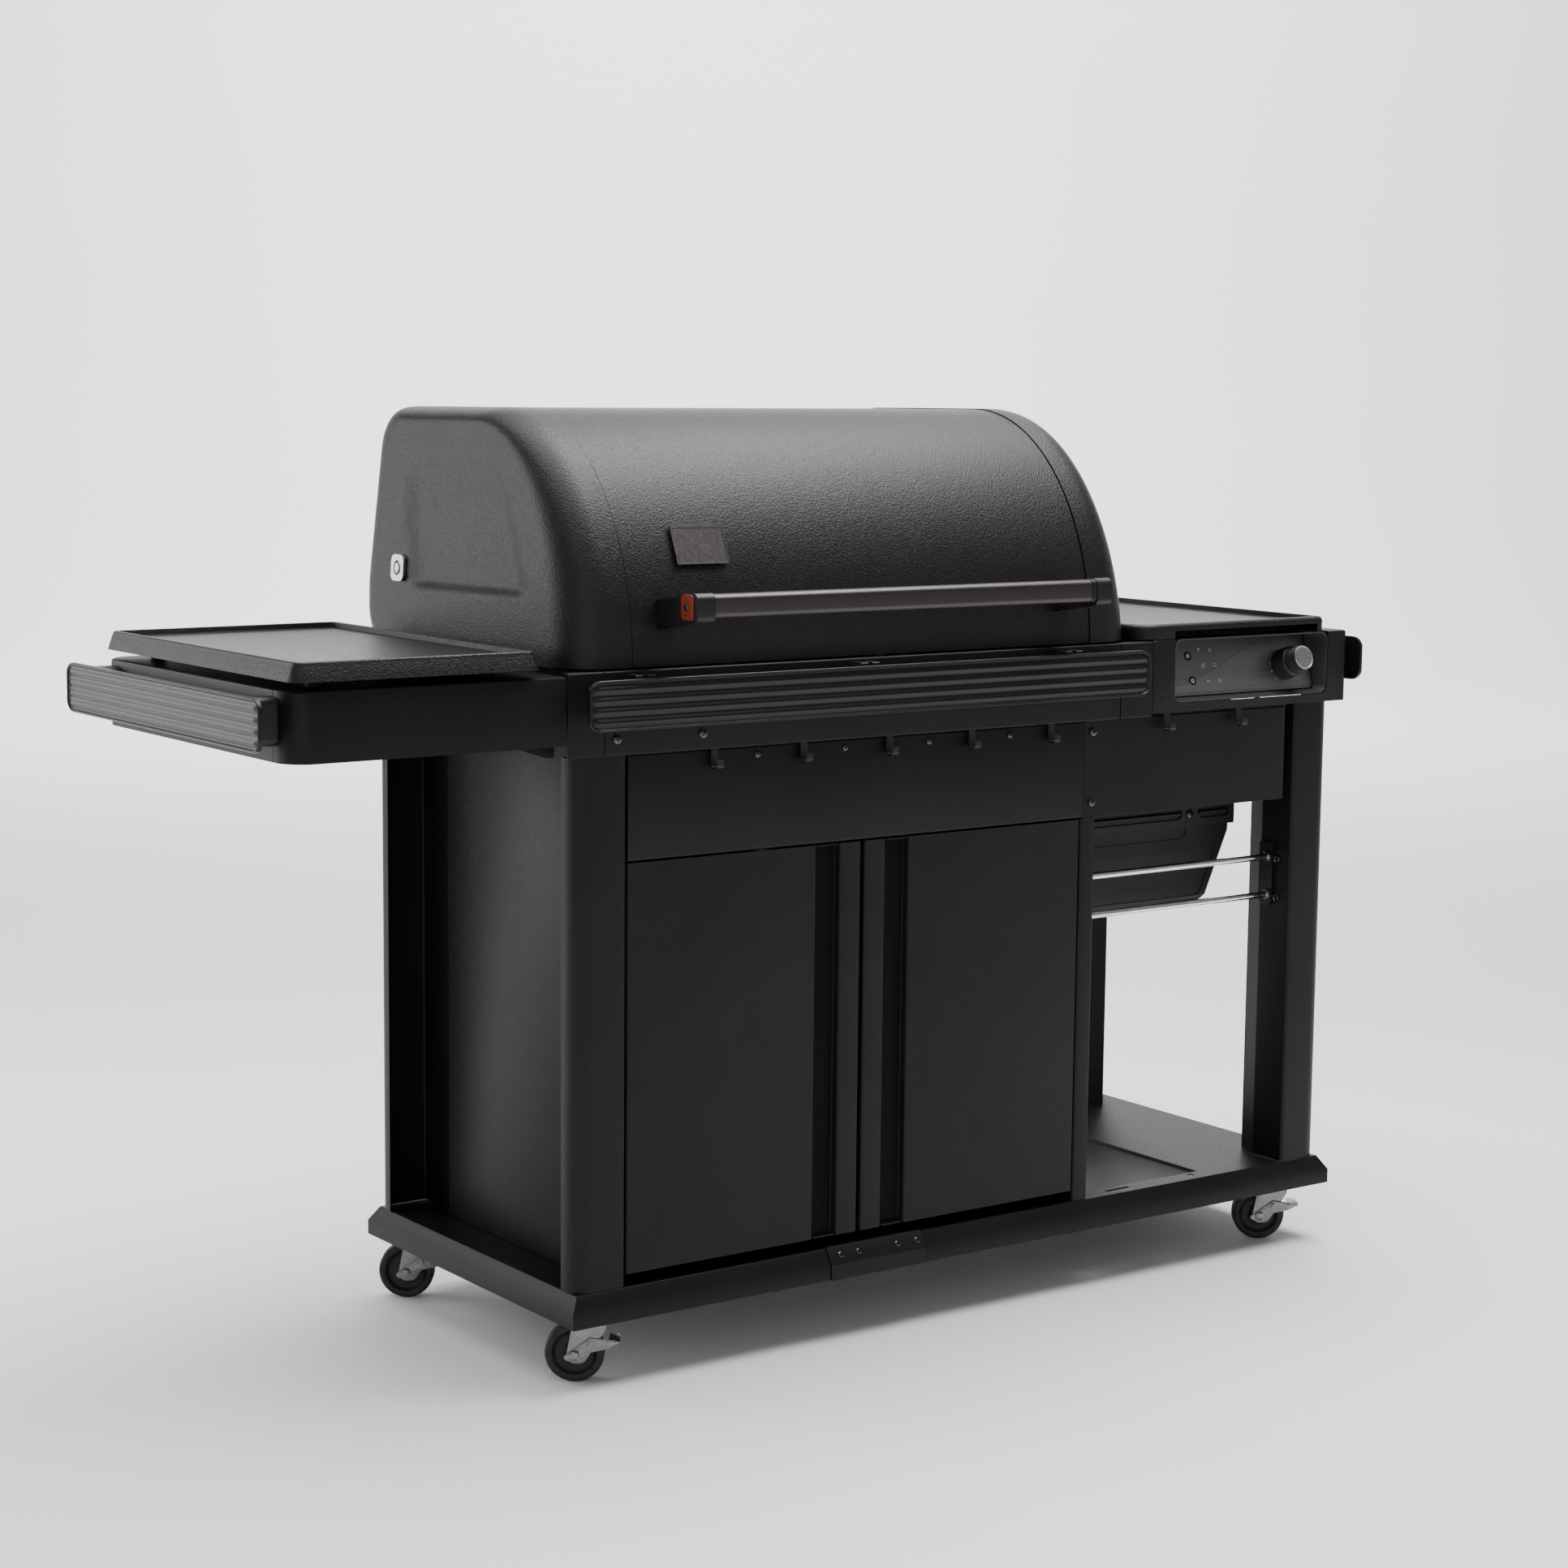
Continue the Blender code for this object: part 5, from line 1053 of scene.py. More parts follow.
in_wall = PANEL_SHEET + GAP
pocket_front = shelf_lo.y + 0.0006
bezel = [
    panel_ring(WINDOW[0] + in_wall, WINDOW[1] - in_wall, pocket_front, pocket_front,
               WINDOW_BOTTOM + in_wall, PANEL_HEAD.z, 0.012),
    panel_ring(*PANEL_FACE, PANEL_FOOT.y, PANEL_HEAD.y, PANEL_FOOT.z, PANEL_HEAD.z - 0.001,
               0.010),
]
bezel_shell = as_mesh(thicken(loft("panel_bezel", bezel, BEZEL_GREY, last=False), PANEL_SHEET, 1))
show(smooth(bezel_shell, 30), "grill", "control_panel", edge=0.0005)


def flat_on_panel(outline, name, low, high, material, holes=()):
    """A sheet cut to an outline in the panel's own X and height, standing off its face."""
    lean = math.cos(PANEL_TILT)
    foot = PANEL_FOOT.z

    def along(loop):
        return [(x, (z - foot) / lean) for x, z in loop]
    piece = plate(name, along(outline), "Z", low, high, material, [along(h) for h in holes])
    return move(piece, Matrix.Translation((0.0, PANEL_FOOT.y, foot)) @ PANEL_TURN)


BUTTON_X = 1.0465
BUTTON_HEIGHTS = (("button_upper", 0.8815), ("button_lower", 0.8475))
holes = [circle((BUTTON_X, height), 0.0044, 32) for _, height in BUTTON_HEIGHTS]
face_outline = rounded_rect(PANEL_FACE[0] + 0.0015, PANEL_FACE[1] - 0.0015,
                            PANEL_FOOT.z + 0.0015, PANEL_HEAD.z - 0.0028, 0.009, 8)
face = flat_on_panel(face_outline, "panel_face", -0.0016, 0.0, PANEL_METAL, holes)
show(face, "grill", edge=0.0003)
# A liner in painted shade behind the face darkens the thin line between the face and its surround.
liner_outline = rounded_rect(PANEL_FACE[0] - 0.003, PANEL_FACE[1] + 0.003, PANEL_FOOT.z - 0.004,
                             PANEL_HEAD.z - 0.001, 0.009, 8)
liner = flat_on_panel(liner_outline, "panel_liner", -0.0042, -0.0024, SHADE_PAINT, holes)
show(liner, "grill", edge=0.0003)
band_outline = rectangle(PANEL_FACE[0] - 0.004, PANEL_FACE[1] + 0.004, PANEL_HEAD.z + 0.0004,
                         PANEL_HEAD.z + 0.0100)
head_band = flat_on_panel(band_outline, "panel_head_band", 0.0, 0.0030, BEZEL_GREY)
show(head_band, "grill", edge=0.0006)

# The lower field has an S-shaped upper edge that climbs from left to right.
SWOOSH = (PANEL_FACE[0] + 0.006, 1.212)
SWOOSH_Z = (0.8400, 0.8970)
edge_line = []
for step in range(25):
    share = step / 24
    x = SWOOSH[0] + (SWOOSH[1] - SWOOSH[0]) * share
    rise = share ** 1.5 * (1 + 0.35 * math.sin(math.pi * share))
    edge_line.append((x, SWOOSH_Z[0] + (SWOOSH_Z[1] - SWOOSH_Z[0]) * min(rise, 1.0)))
swoosh = edge_line + fillet([(PANEL_FACE[1] - 0.006, SWOOSH_Z[1]),
                             (PANEL_FACE[1] - 0.006, PANEL_FOOT.z + 0.005),
                             (SWOOSH[0], PANEL_FOOT.z + 0.005)], [0.004, 0.006, 0.0], 6)
lower_field = flat_on_panel(swoosh, "panel_lower_field", 0.0001, 0.0005, SWOOSH_METAL)
show(lower_field, "grill", edge=0.00015, segments=2)

CAP_PROFILE = [(0.0, 0.0004), (0.0030, 0.0004), (0.0038, 0.0), (0.0038, -0.0060), (0.0, -0.0060)]
MARK_PROFILE = [(0.0028, 0.00065), (0.0028, 0.00035), (0.0015, 0.00035), (0.0015, 0.00065)]
for name, height in BUTTON_HEIGHTS:
    ring = flat_on_panel(circle((BUTTON_X, height), 0.0062, 40), "ring_of_" + name, 0.0004,
                         0.0010, SATIN, [circle((BUTTON_X, height), 0.0043, 40)])
    show(ring, "grill", edge=0.0002)
    spot = Matrix.Translation(on_panel(BUTTON_X, height)) @ PANEL_TURN
    show(move(turned(name + "_cap", CAP_PROFILE, PLASTIC, 40), spot), name, name)
    show(move(turned(name + "_mark", MARK_PROFILE, INK, 40), spot), name)


# Plain signs: each is a list of strokes in millimetres about its own middle.
def arc_stroke(radius, first, last, steps=14):
    turn = math.radians(last - first)
    return [(radius * math.cos(math.radians(first) + turn * s / steps),
             radius * math.sin(math.radians(first) + turn * s / steps))
            for s in range(steps + 1)]


SIGNS = {
    "fan": [arc_stroke(1.9, 20, 160), arc_stroke(3.0, 35, 145), [(0, -2.4), (0, 0.4)]],
    "drop": [arc_stroke(2.1, -220, 40) + [(0.0, 3.4)] + arc_stroke(2.1, -220, -215, 1)],
    "clock": [arc_stroke(2.7, 0, 360, 24), [(0, 1.5), (0, 0), (1.2, -0.5)]],
    "square": [[(-2.2, -2.2), (2.2, -2.2), (2.2, 2.2), (-2.2, 2.2), (-2.2, -2.2)]],
    "arrows": [[(-2.8, 0), (2.8, 0)], [(-1.4, 1.4), (-2.8, 0), (-1.4, -1.4)],
               [(1.4, 1.4), (2.8, 0), (1.4, -1.4)]],
    "bars": [[(-2.2, h), (2.2, h)] for h in (-1.8, 0.0, 1.8)],
}
SIGN_WIDTH = 0.55
SIGN_PLACES = (("fan", 1.0690, 0.8880), ("drop", 1.0910, 0.8880), ("clock", 1.0725, 0.8675),
               ("square", 1.0945, 0.8675), ("arrows", 1.0760, 0.8455), ("bars", 1.0980, 0.8455))


def sign(name, x, height):
    """A printed sign: flat ribbons along its strokes."""
    bm = bmesh.new()
    for stroke in SIGNS[name]:
        left, right = [], []
        for index, point in enumerate(stroke):
            before = Vector(stroke[max(index - 1, 0)])
            after = Vector(stroke[min(index + 1, len(stroke) - 1)])
            run = (after - before).normalized()
            side = Vector((-run.y, run.x)) * SIGN_WIDTH / 2
            here = Vector(point)
            left.append(bm.verts.new(((here + side).x, (here + side).y, 0.0)))
            right.append(bm.verts.new(((here - side).x, (here - side).y, 0.0)))
        for a, b, c, d in zip(left, left[1:], right[1:], right):
            bm.faces.new((d, c, b, a))
    bmesh.ops.scale(bm, vec=(0.001, 0.001, 0.001), verts=bm.verts)
    bm.normal_update()
    mark = from_bmesh("sign_" + name, bm, INK)
    thicken(mark, 0.00012, 1)
    mark.matrix_world = Matrix.Translation(on_panel(x, height, 0.00055)) @ PANEL_TURN
    show(as_mesh(mark), "grill")


for name, x, height in SIGN_PLACES:
    sign(name, x, height)

# ---------------------------------------------------------------- knob
KNOB_PLACE = joint_place("knob_turn")
knob_turn = Matrix.Translation(KNOB_PLACE) @ PANEL_TURN
knob_base = turned("knob_base", [(0.0, 0.0200), (0.0212, 0.0200), (0.0222, 0.0194),
                                 (0.0225, 0.0182), (0.0225, 0.0016), (0.0219, 0.0006),
                                 (0.0, 0.0004)], PLASTIC)
knob_ring = turned("knob_ring", [(0.0, 0.0252), (0.0196, 0.0252), (0.0216, 0.0240),
                                 (0.0222, 0.0226), (0.0222, 0.0204), (0.0, 0.0202)], HANDLE_METAL)
barrel_profile = [(0.0, 0.0438), (0.0172, 0.0438), (0.0179, 0.0432)]
for step in range(5):
    low = 0.0412 - 0.0034 * step
    barrel_profile += [(0.0180, low + 0.0010), (0.0180, low - 0.0012), (0.0175, low - 0.0016),
                       (0.0175, low - 0.0020)]
barrel_profile += [(0.0177, 0.0254), (0.0, 0.0254)]
knob_barrel = turned("knob_barrel", barrel_profile, PLASTIC)
knob_cap = turned("knob_cap", [(0.0, 0.0452), (0.0145, 0.0452), (0.0154, 0.0455), (0.0162, 0.0460),
                               (0.0171, 0.0457), (0.0175, 0.0450), (0.0175, 0.0440),
                               (0.0, 0.0439)], SILVER)
pointer = box("knob_pointer", (-0.0006, 0.0172, 0.0300), (0.0006, 0.0179, 0.0430), SILVER)
show(move(knob_base, knob_turn), "knob", "knob")
for piece in (knob_ring, knob_barrel, knob_cap, pointer):
    show(move(piece, knob_turn), "knob")
TICKS = 11
TICK_REACH = 0.0262
for index in range(TICKS):
    angle = math.radians(-135 + 270 * index / (TICKS - 1))
    centre = Vector((KNOB_PLACE.x + TICK_REACH * math.sin(angle),
                     KNOB_PLACE.z + TICK_REACH * math.cos(angle)))
    if centre.x > PANEL_FACE[1] - 0.008 or centre.y > PANEL_HEAD.z - 0.006:
        continue
    tick = flat_on_panel(circle(centre, 0.0007, 14), "knob_tick_%d" % index, 0.0004, 0.0007, INK)
    show(tick, "grill")

# ---------------------------------------------------------------- hopper lid and rods
SKIRT_NOTCH = (WINDOW[0], 1.268, plan("hopper_lid")[0].z + 0.0110)
hopper_lid = tray("hopper_lid_top", "hopper_lid", 0.0, [0.040, 0.016, 0.014, 0.014], 0.0065,
                  SKIRT_NOTCH)
show(smooth(hopper_lid, 40), "hopper_lid", "hopper_lid", edge=0.0004, segments=2)

rods_lo, rods_hi = plan("side_rods")
ROD_RADIUS = 0.0047
ROD_Y = 0.0565
ROD_HEIGHTS = (0.577, 0.521)
for index, height in enumerate(ROD_HEIGHTS):
    rod = tube("side_rod_%d" % index, [(rods_lo.x + 0.002, ROD_Y, height),
                                       (rods_hi.x - 0.002, ROD_Y, height)], ROD_RADIUS, CHROME, 8)
    show(rod, "grill", *(("side_rods",) if index == 0 else ()), edge=0.0004)
    for side, x, out in (("left", rods_lo.x + 0.003, 1), ("right", rods_hi.x - 0.003, -1)):
        nut = turned("rod_nut_%s_%d" % (side, index),
                     [(0.0, 0.0040), (0.0066, 0.0040), (0.0074, 0.0032), (0.0076, 0.0),
                      (0.0, 0.0)], ZINC, 40)
        nut.matrix_world = facing((x, ROD_Y, height), (out, 0, 0))
        show(nut, "grill")
rod_plate = rounded_rect(0.0470, 0.0740, rods_lo.z, rods_hi.z, [0.0125, 0.0125, 0.002, 0.002], 7)
for name, x in (("rod_plate_left", rods_lo.x), ("rod_plate_right", rods_hi.x - 0.003)):
    show(plate(name, rod_plate, "X", x, x + 0.003, SATIN), "grill", edge=0.0005)
for index, height in enumerate((0.575, 0.5175)):
    screw("rod_screw_%d" % index, SCREW, (rods_hi.x + 0.0003, 0.0400, height + 0.001), (-1, 0, 0),
          "grill", index)

# ---------------------------------------------------------------- lid
end_lo, end_hi = plan("lid_end_left")
far_lo, far_hi = plan("lid_end_right")
HINGE = joint_place("lid_hinge")
CAP_PROUD = 1.004
CAP_ROUND = 0.048
CAP_NARROW = 0.205
CAP_LOWER = 0.062
CAP_SPREAD = 0.012              # how far the left end leans out at its foot
RIGHT_SPREAD = 0.0170           # the same for the right end
CAP_LEAN = 0.019                # how far it leans in again over the lid's height
FOOT_TUCK = 0.024               # how far the back of an end curls forward at its foot
FOOT_RISE = 0.048
LID_BOTTOM = end_lo.z
LID_TOP = plan("lid_shell")[1].z
LID_MIDDLE = (end_lo.y + end_hi.y) / 2
LID_HALF = (end_hi.y - end_lo.y) / 2 / CAP_PROUD
LID_FRONT = LID_MIDDLE - LID_HALF
LID_REAR = LID_MIDDLE + LID_HALF
LID_REACH = 0.254               # from the front edge back to the crest
LID_SEAMS = (end_hi.x, far_lo.x)
LID_ENDS = (end_lo.x + CAP_SPREAD, far_hi.x - CAP_SPREAD)
CAP_SLOPE = CAP_LEAN / (LID_TOP - LID_BOTTOM)
PROFILE_STEP = 0.008


def lid_profile():
    """Outer line of the lid from its front edge, over the top, to its back edge."""
    rise = LID_TOP - LID_BOTTOM
    front = []
    for step in range(37):
        angle = math.radians(2.5 * step)
        front.append(Vector((LID_FRONT + LID_REACH * (1 - math.cos(angle)),
                             LID_BOTTOM + rise * math.sin(angle))))
    back = [front[-1], (LID_REAR - 0.027, LID_TOP - 0.002), (LID_REAR, 0.995),
            (LID_REAR - 0.006, LID_BOTTOM)]
    line = front[:-1] + fillet(back, [0, 0.055, 0.120, 0], 14)
    even = [line[0]]
    for before, after in zip(line, line[1:]):
        parts = max(1, math.ceil((after - before).length / PROFILE_STEP))
        even += [before.lerp(after, part / parts) for part in range(1, parts + 1)]
    return even


PROFILE = lid_profile()
SEAM_GAP = 0.0015
middle_ends = (LID_SEAMS[0] + SEAM_GAP, LID_SEAMS[1] - SEAM_GAP)
lid_shell = loft("lid_middle", [[(x, y, z) for y, z in PROFILE] for x in middle_ends], PAINT,
                 last=False, closed=False)
lid_shell = as_mesh(thicken(lid_shell, SHEET, -1))
show(smooth(lid_shell, 30), "lid", "lid_shell")

# Under each seam lies a strip in painted shade that closes the gap, so the seam shows as a dark
# groove.
STRIP_SCALE = 0.9885
STRIP_HALF = 0.010
for index, seam in enumerate(LID_SEAMS):
    rings = [[(seam + shift, LID_MIDDLE + (y - LID_MIDDLE) * STRIP_SCALE,
               LID_BOTTOM + (z - LID_BOTTOM) * STRIP_SCALE) for y, z in PROFILE]
             for shift in (-STRIP_HALF, STRIP_HALF)]
    strip = loft("lid_seam_strip_%d" % index, rings, SHADE_PAINT, last=False, closed=False)
    show(smooth(as_mesh(thicken(strip, 0.0012, -1)), 30), "lid")

EMBOSS_DEPTH = 0.0070
EMBOSS = ((0.428, 1.140), (0.196, 1.140), (0.130, 0.997), (0.432, 0.993))
EMBOSS_EDGES = (0.075, 0.046, 0.015, 0.050)    # width of each side's slope, from the top on
PORT = Vector((0.447, 1.013))                  # the probe port's place on the left end
PORT_FLAT = (0.012, 0.064)                     # the end is flat near the port and at its mirror


def smoothstep(value):
    value = min(max(value, 0.0), 1.0)
    return value * value * (3 - 2 * value)


def emboss(y, z):
    """Depth of the soft panel pressed into an end of the lid."""
    depth = 1.0
    for index, corner in enumerate(EMBOSS):
        a, b = Vector(corner), Vector(EMBOSS[(index + 1) % len(EMBOSS)])
        run = (b - a).normalized()
        inside = run.y * (y - a.x) - run.x * (z - a.y)
        depth *= smoothstep(0.5 - inside / EMBOSS_EDGES[index])
    near = (Vector((y, z)) - PORT).length
    depth *= smoothstep((near - PORT_FLAT[0]) / (PORT_FLAT[1] - PORT_FLAT[0]))
    return EMBOSS_DEPTH * depth


def end_lean(z, spread):
    """How far an end stands out at a height: it leans in towards its top."""
    return spread - CAP_LEAN / CAP_SPREAD * spread * (z - LID_BOTTOM) / (LID_TOP - LID_BOTTOM)


def lid_cap(name, seam, end, spread):
    """An end of the lid: the profile drawn in along a quarter turn, then a pressed face."""
    toward = math.copysign(1.0, end - seam)
    stations = [(seam, 0.0), (seam + toward * 0.004, 0.0)]
    for step in range(13):
        angle = math.radians(7.5 * step)
        x = end - toward * CAP_ROUND * (1 - math.sin(angle))
        stations.append((x, 1 - math.cos(angle)))
    rings = []
    for x, draw in stations:
        wide = CAP_PROUD * (1 - CAP_NARROW * draw)
        tall = CAP_PROUD * (1 - CAP_LOWER * draw)
        share = (x - seam) / (end - seam)
        ring = []
        for y, z in PROFILE:
            here = LID_BOTTOM + (z - LID_BOTTOM) * tall
            back = LID_MIDDLE + (y - LID_MIDDLE) * wide
            if back > LID_MIDDLE:
                back -= FOOT_TUCK * share * max(1 - (here - LID_BOTTOM) / FOOT_RISE, 0.0) ** 2
            ring.append((x + toward * share * end_lean(here, spread), back, here))
        rings.append(ring)
    rim = [Vector((y, z)) for _, y, z in rings[-1]]
    heart = Vector((LID_MIDDLE, LID_BOTTOM))
    rows = 72
    for step in range(1, rows + 1):
        ring = []
        for spot in rim:
            here = heart + (spot - heart) * (1 - step / rows)
            x = end + toward * (end_lean(here.y, spread) - emboss(here.x, here.y))
            ring.append((x, here.x, here.y))
        rings.append(ring)
    cap = loft(name, rings, PAINT, last=False, closed=False)
    return as_mesh(thicken(as_mesh(cap), SHEET, -1))


for side, *layout in zip(("left", "right"), LID_SEAMS, LID_ENDS, (CAP_SPREAD, RIGHT_SPREAD)):
    show(smooth(lid_cap("lid_cap_" + side, *layout), 35), "lid", "lid_end_" + side)

PIN = (HINGE.y, HINGE.z)
for index, x in enumerate((0.145, 0.775)):
    knuckle = plate("lid_knuckle_%d" % index, circle(PIN, 0.008), "X", x - 0.010, x + 0.010,
                    PANEL_PAINT, [circle(PIN, 0.0043, 32)])
    arm = box("lid_knuckle_arm_%d" % index, (x - 0.009, 0.5652, 0.9072), (x + 0.009, 0.5698, 0.955),
              PANEL_PAINT)
    show(join(arm, knuckle), "lid", edge=0.0006)


def lid_front_at(height):
    """How far back the lid's front curve is at a height, and the way it faces there."""
    rise = LID_TOP - LID_BOTTOM
    angle = math.asin((height - LID_BOTTOM) / rise)
    out = Vector((0.0, -math.cos(angle) / LID_REACH, math.sin(angle) / rise)).normalized()
    return LID_FRONT + LID_REACH * (1 - math.cos(angle)), out


# ---------------------------------------------------------------- lid handle
grip_lo, grip_hi = plan("lid_handle")
cap_boxes = {side: plan("handle_cap_" + side) for side in ("left", "right")}
GRIP_ENDS = (cap_boxes["left"][1].x, cap_boxes["right"][0].x)
CAP_FLOOR, CAP_CEILING = grip_lo.z - 0.0035, grip_hi.z + 0.0035
CAP_DROP = 0.0145               # how much lower a bracket is at the lid than at the grip
grip_outline = rounded_rect(grip_lo.y, grip_hi.y, grip_lo.z, grip_hi.z, 0.008, 10)
grip = plate("lid_handle_grip", grip_outline, "X", GRIP_ENDS[0] + 0.0001, GRIP_ENDS[1] - 0.0001,
             HANDLE_METAL)
show(smooth(grip, 40), "lid", "lid_handle", edge=0.0004)
for side, (lo, hi) in cap_boxes.items():
    low_y = lid_front_at(CAP_FLOOR - CAP_DROP)[0] - 0.0006
    high_y = lid_front_at(CAP_CEILING - CAP_DROP)[0] - 0.0006
    outline = fillet([(lo.y, CAP_FLOOR), (low_y, CAP_FLOOR - CAP_DROP),
                      (high_y, CAP_CEILING - CAP_DROP), (lo.y, CAP_CEILING)],
                     [0.010, 0, 0, 0.010], 8, closed=True)
    bracket = plate("handle_bracket_" + side, outline, "X", lo.x, hi.x, SATIN)
    show(smooth(bracket, 40), "lid", "handle_cap_" + side, edge=0.0050, segments=6)
collar_outline = rounded_rect(grip_lo.y - 0.0008, grip_hi.y + 0.0008, grip_lo.z - 0.0008,
                              grip_hi.z + 0.0008, 0.0085, 10)
for index, (start, end) in enumerate(((GRIP_ENDS[0], GRIP_ENDS[0] + 0.0020),
                                      (GRIP_ENDS[1] - 0.0070, GRIP_ENDS[1]))):
    show(smooth(plate("handle_collar_%d" % index, collar_outline, "X", start, end, SATIN), 40),
         "lid", edge=0.0005)
accent_lo, accent_hi = plan("handle_accent")
accent = plate("handle_insert", rounded_rect(accent_lo.y, accent_hi.y, accent_lo.z, accent_hi.z,
                                             0.006, 8), "X", accent_lo.x, accent_hi.x, ACCENT)
show(accent, "lid", "handle_accent", edge=0.0006)
accent_screw = Vector((accent_lo.x - 0.0001, (accent_lo.y + accent_hi.y) / 2,
                       (accent_lo.z + accent_hi.z) / 2))
screw("insert_screw", SMALL_SCREW, accent_screw, (-1, 0, 0), "lid", 0.4)
for index, dz in enumerate((-0.0085, 0.0085)):
    line = [(accent_lo.x, y, accent_screw.z + dz)
            for y in (accent_lo.y + 0.006, accent_hi.y - 0.006)]
    show(tube("insert_rib_%d" % index, line, 0.0007, ACCENT, 4), "lid")

# ---------------------------------------------------------------- badge and probe port
badge_lo, badge_hi = plan("lid_badge")
BADGE_SIZE = (0.079, 0.0535)
BADGE_X = (badge_lo.x + badge_hi.x) / 2
BADGE_EDGES = (1.0335, 1.0835)  # heights of its lower and upper edge
BADGE_Z = sum(BADGE_EDGES) / 2
badge_y, badge_out = lid_front_at(BADGE_Z)
badge_place = facing(Vector((BADGE_X, badge_y, BADGE_Z)) + badge_out * 0.0034, badge_out)
half_w, half_h = BADGE_SIZE[0] / 2, BADGE_SIZE[1] / 2
# The plate has a sunk field inside a raised edge, wider along the top.
badge = plate("lid_badge_plate", rect_about(MIDDLE, half_w, half_h, 0.0026), "Z", -0.0010,
              0.0010, BADGE_METAL)
field = plate("badge_field", rounded_rect(-half_w + 0.0016, half_w - 0.0016, -half_h + 0.0016,
                                          half_h - 0.0052, 0.0018, 6), "Z", 0.0004, 0.0020,
              BADGE_METAL)
show(move(cut(badge, field), badge_place), "lid", "lid_badge", edge=0.0005)

port_face = LID_ENDS[0] - CAP_SPREAD + CAP_SLOPE * (PORT.y - LID_BOTTOM)
port_turn = Matrix.Rotation(math.atan(CAP_SLOPE), 4, "Y")
port_place = Matrix.Translation((port_face, *PORT)) @ port_turn
port = plate("probe_port_plate", rect_about(MIDDLE, 0.0165, 0.0175, 0.009, 8), "X", -0.0046,
             -0.0004, SILVER, [circle(MIDDLE, 0.0098, 48)])
button = turned("probe_port_plug", [(0.0, 0.0042), (0.0050, 0.0040), (0.0075, 0.0030),
                                    (0.0088, 0.0012), (0.0090, -0.0020), (0.0, -0.0020)], SILVER)
button.matrix_world = facing((-0.0020, 0.0, 0.0), (-1, 0, 0))
seat = turned("probe_port_seat", [(0.0, 0.0003), (0.0105, 0.0003), (0.0105, 0.0), (0.0, 0.0)],
              SATIN)
seat.matrix_world = facing((-0.0008, 0.0, 0.0), (-1, 0, 0))
show(smooth(move(port, port_place), 40), "lid", "probe_port", edge=0.0012)
for piece in (button, seat):
    show(move(piece, port_place), "lid")

# ---------------------------------------------------------------- doors
CHANNEL_WIDTH = 0.041
CHANNEL_DEPTH = 0.010
CHANNEL_SLOPE = 0.002
LIP_WIDTH = 0.033


def door(node, hinge_side, free_side):
    """A hemmed sheet door with a full-height finger channel near its free edge."""
    lo, hi = plan(node)
    step = math.copysign(1.0, free_side - hinge_side)
    half = SHEET / 2
    lip = free_side - step * LIP_WIDTH
    channel = lip - step * CHANNEL_WIDTH
    floor_y = SHEET_FACE + CHANNEL_DEPTH
    path = [(hinge_side + step * half, hi.y), (hinge_side + step * half, SHEET_FACE),
            (channel, SHEET_FACE), (channel + step * CHANNEL_SLOPE, floor_y),
            (lip - step * CHANNEL_SLOPE, floor_y), (lip, SHEET_FACE),
            (free_side - step * half, SHEET_FACE), (free_side - step * half, hi.y)]
    sheet = folded(node + "_sheet", fillet(path, 0.002, 5), "Z", lo.z, hi.z, PANEL_PAINT)
    show_sheet(sheet, node, node)
    # The channel floor is lined with a sheet of painted shade, darker than the door's paint.
    inner = sorted((channel + step * 0.0050, lip - step * 0.0050))
    liner = plate(node + "_channel_liner", rounded_rect(*inner, lo.z + 0.003, hi.z - 0.003, 0.002),
                  "Z", 0.0001, 0.0007, SHADE_PAINT)
    show(stand_up(liner, floor_y - half), node, edge=0.0002)
    for name, z in (("foot", lo.z + 0.0012), ("head", hi.z - 0.0012)):
        ends = sorted((channel + step * 0.0035, lip - step * 0.0035))
        stop = box("%s_channel_%s" % (node, name), (ends[0], FACE_Y + 0.0012, z - 0.0010),
                   (ends[1], floor_y - half - 0.0001, z + 0.0010), PANEL_PAINT)
        show(stop, node, edge=0.0003)


door("door_left", *[corner.x for corner in plan("door_left")])
door("door_right", *[corner.x for corner in reversed(plan("door_right"))])

# ---------------------------------------------------------------- casters
FORK_HALF = 0.0165
FORK_SHEET = 0.0025
WHEEL_RADIUS = 0.038
WHEEL_HALF = 0.0125
CASTER_TOP = plan("caster_fork_front_left")[1].z
TRAIL = (joint_place("wheel_roll_front_left") - joint_place("caster_swivel_front_left")).xy.length


def mesh_of(obj):
    """Bake a piece into a mesh in its caster's own axes."""
    obj = as_mesh(obj)
    obj.data.transform(obj.matrix_world)
    mesh = obj.data
    bpy.data.objects.remove(obj, do_unlink=True)
    return mesh


def cheek_mesh(side):
    outline = fillet([(-0.017, 0.092), (-0.017, 0.072), (TRAIL - 0.012, 0.026),
                      (TRAIL + 0.012, 0.026), (0.027, 0.072), (0.021, 0.092)],
                     [0.002, 0.010, 0.011, 0.011, 0.010, 0.002], 8, closed=True)
    middle = side * FORK_HALF
    cheek = plate("fork_cheek", outline, "Y", middle - FORK_SHEET / 2, middle + FORK_SHEET / 2,
                  ZINC)
    return mesh_of(bevel(cheek, 0.0006))


def crown_mesh():
    profile = [(0.0, CASTER_TOP), (0.0225, CASTER_TOP), (0.0230, CASTER_TOP - 0.0008),
               (0.0230, 0.1120), (0.0205, 0.1100), (0.0205, 0.1050), (0.0228, 0.1035),
               (0.0230, 0.0960), (0.0222, 0.0920), (0.0190, 0.0890), (0.0180, 0.0856),
               (0.0, 0.0856)]
    return mesh_of(turned("fork_crown", profile, ZINC))


def on_axle(name, profile, material, steps):
    """A piece turned about the axle."""
    piece = turned(name, profile, material, steps)
    piece.data.transform(Matrix.Rotation(math.pi / 2, 4, "X"))
    return mesh_of(piece)


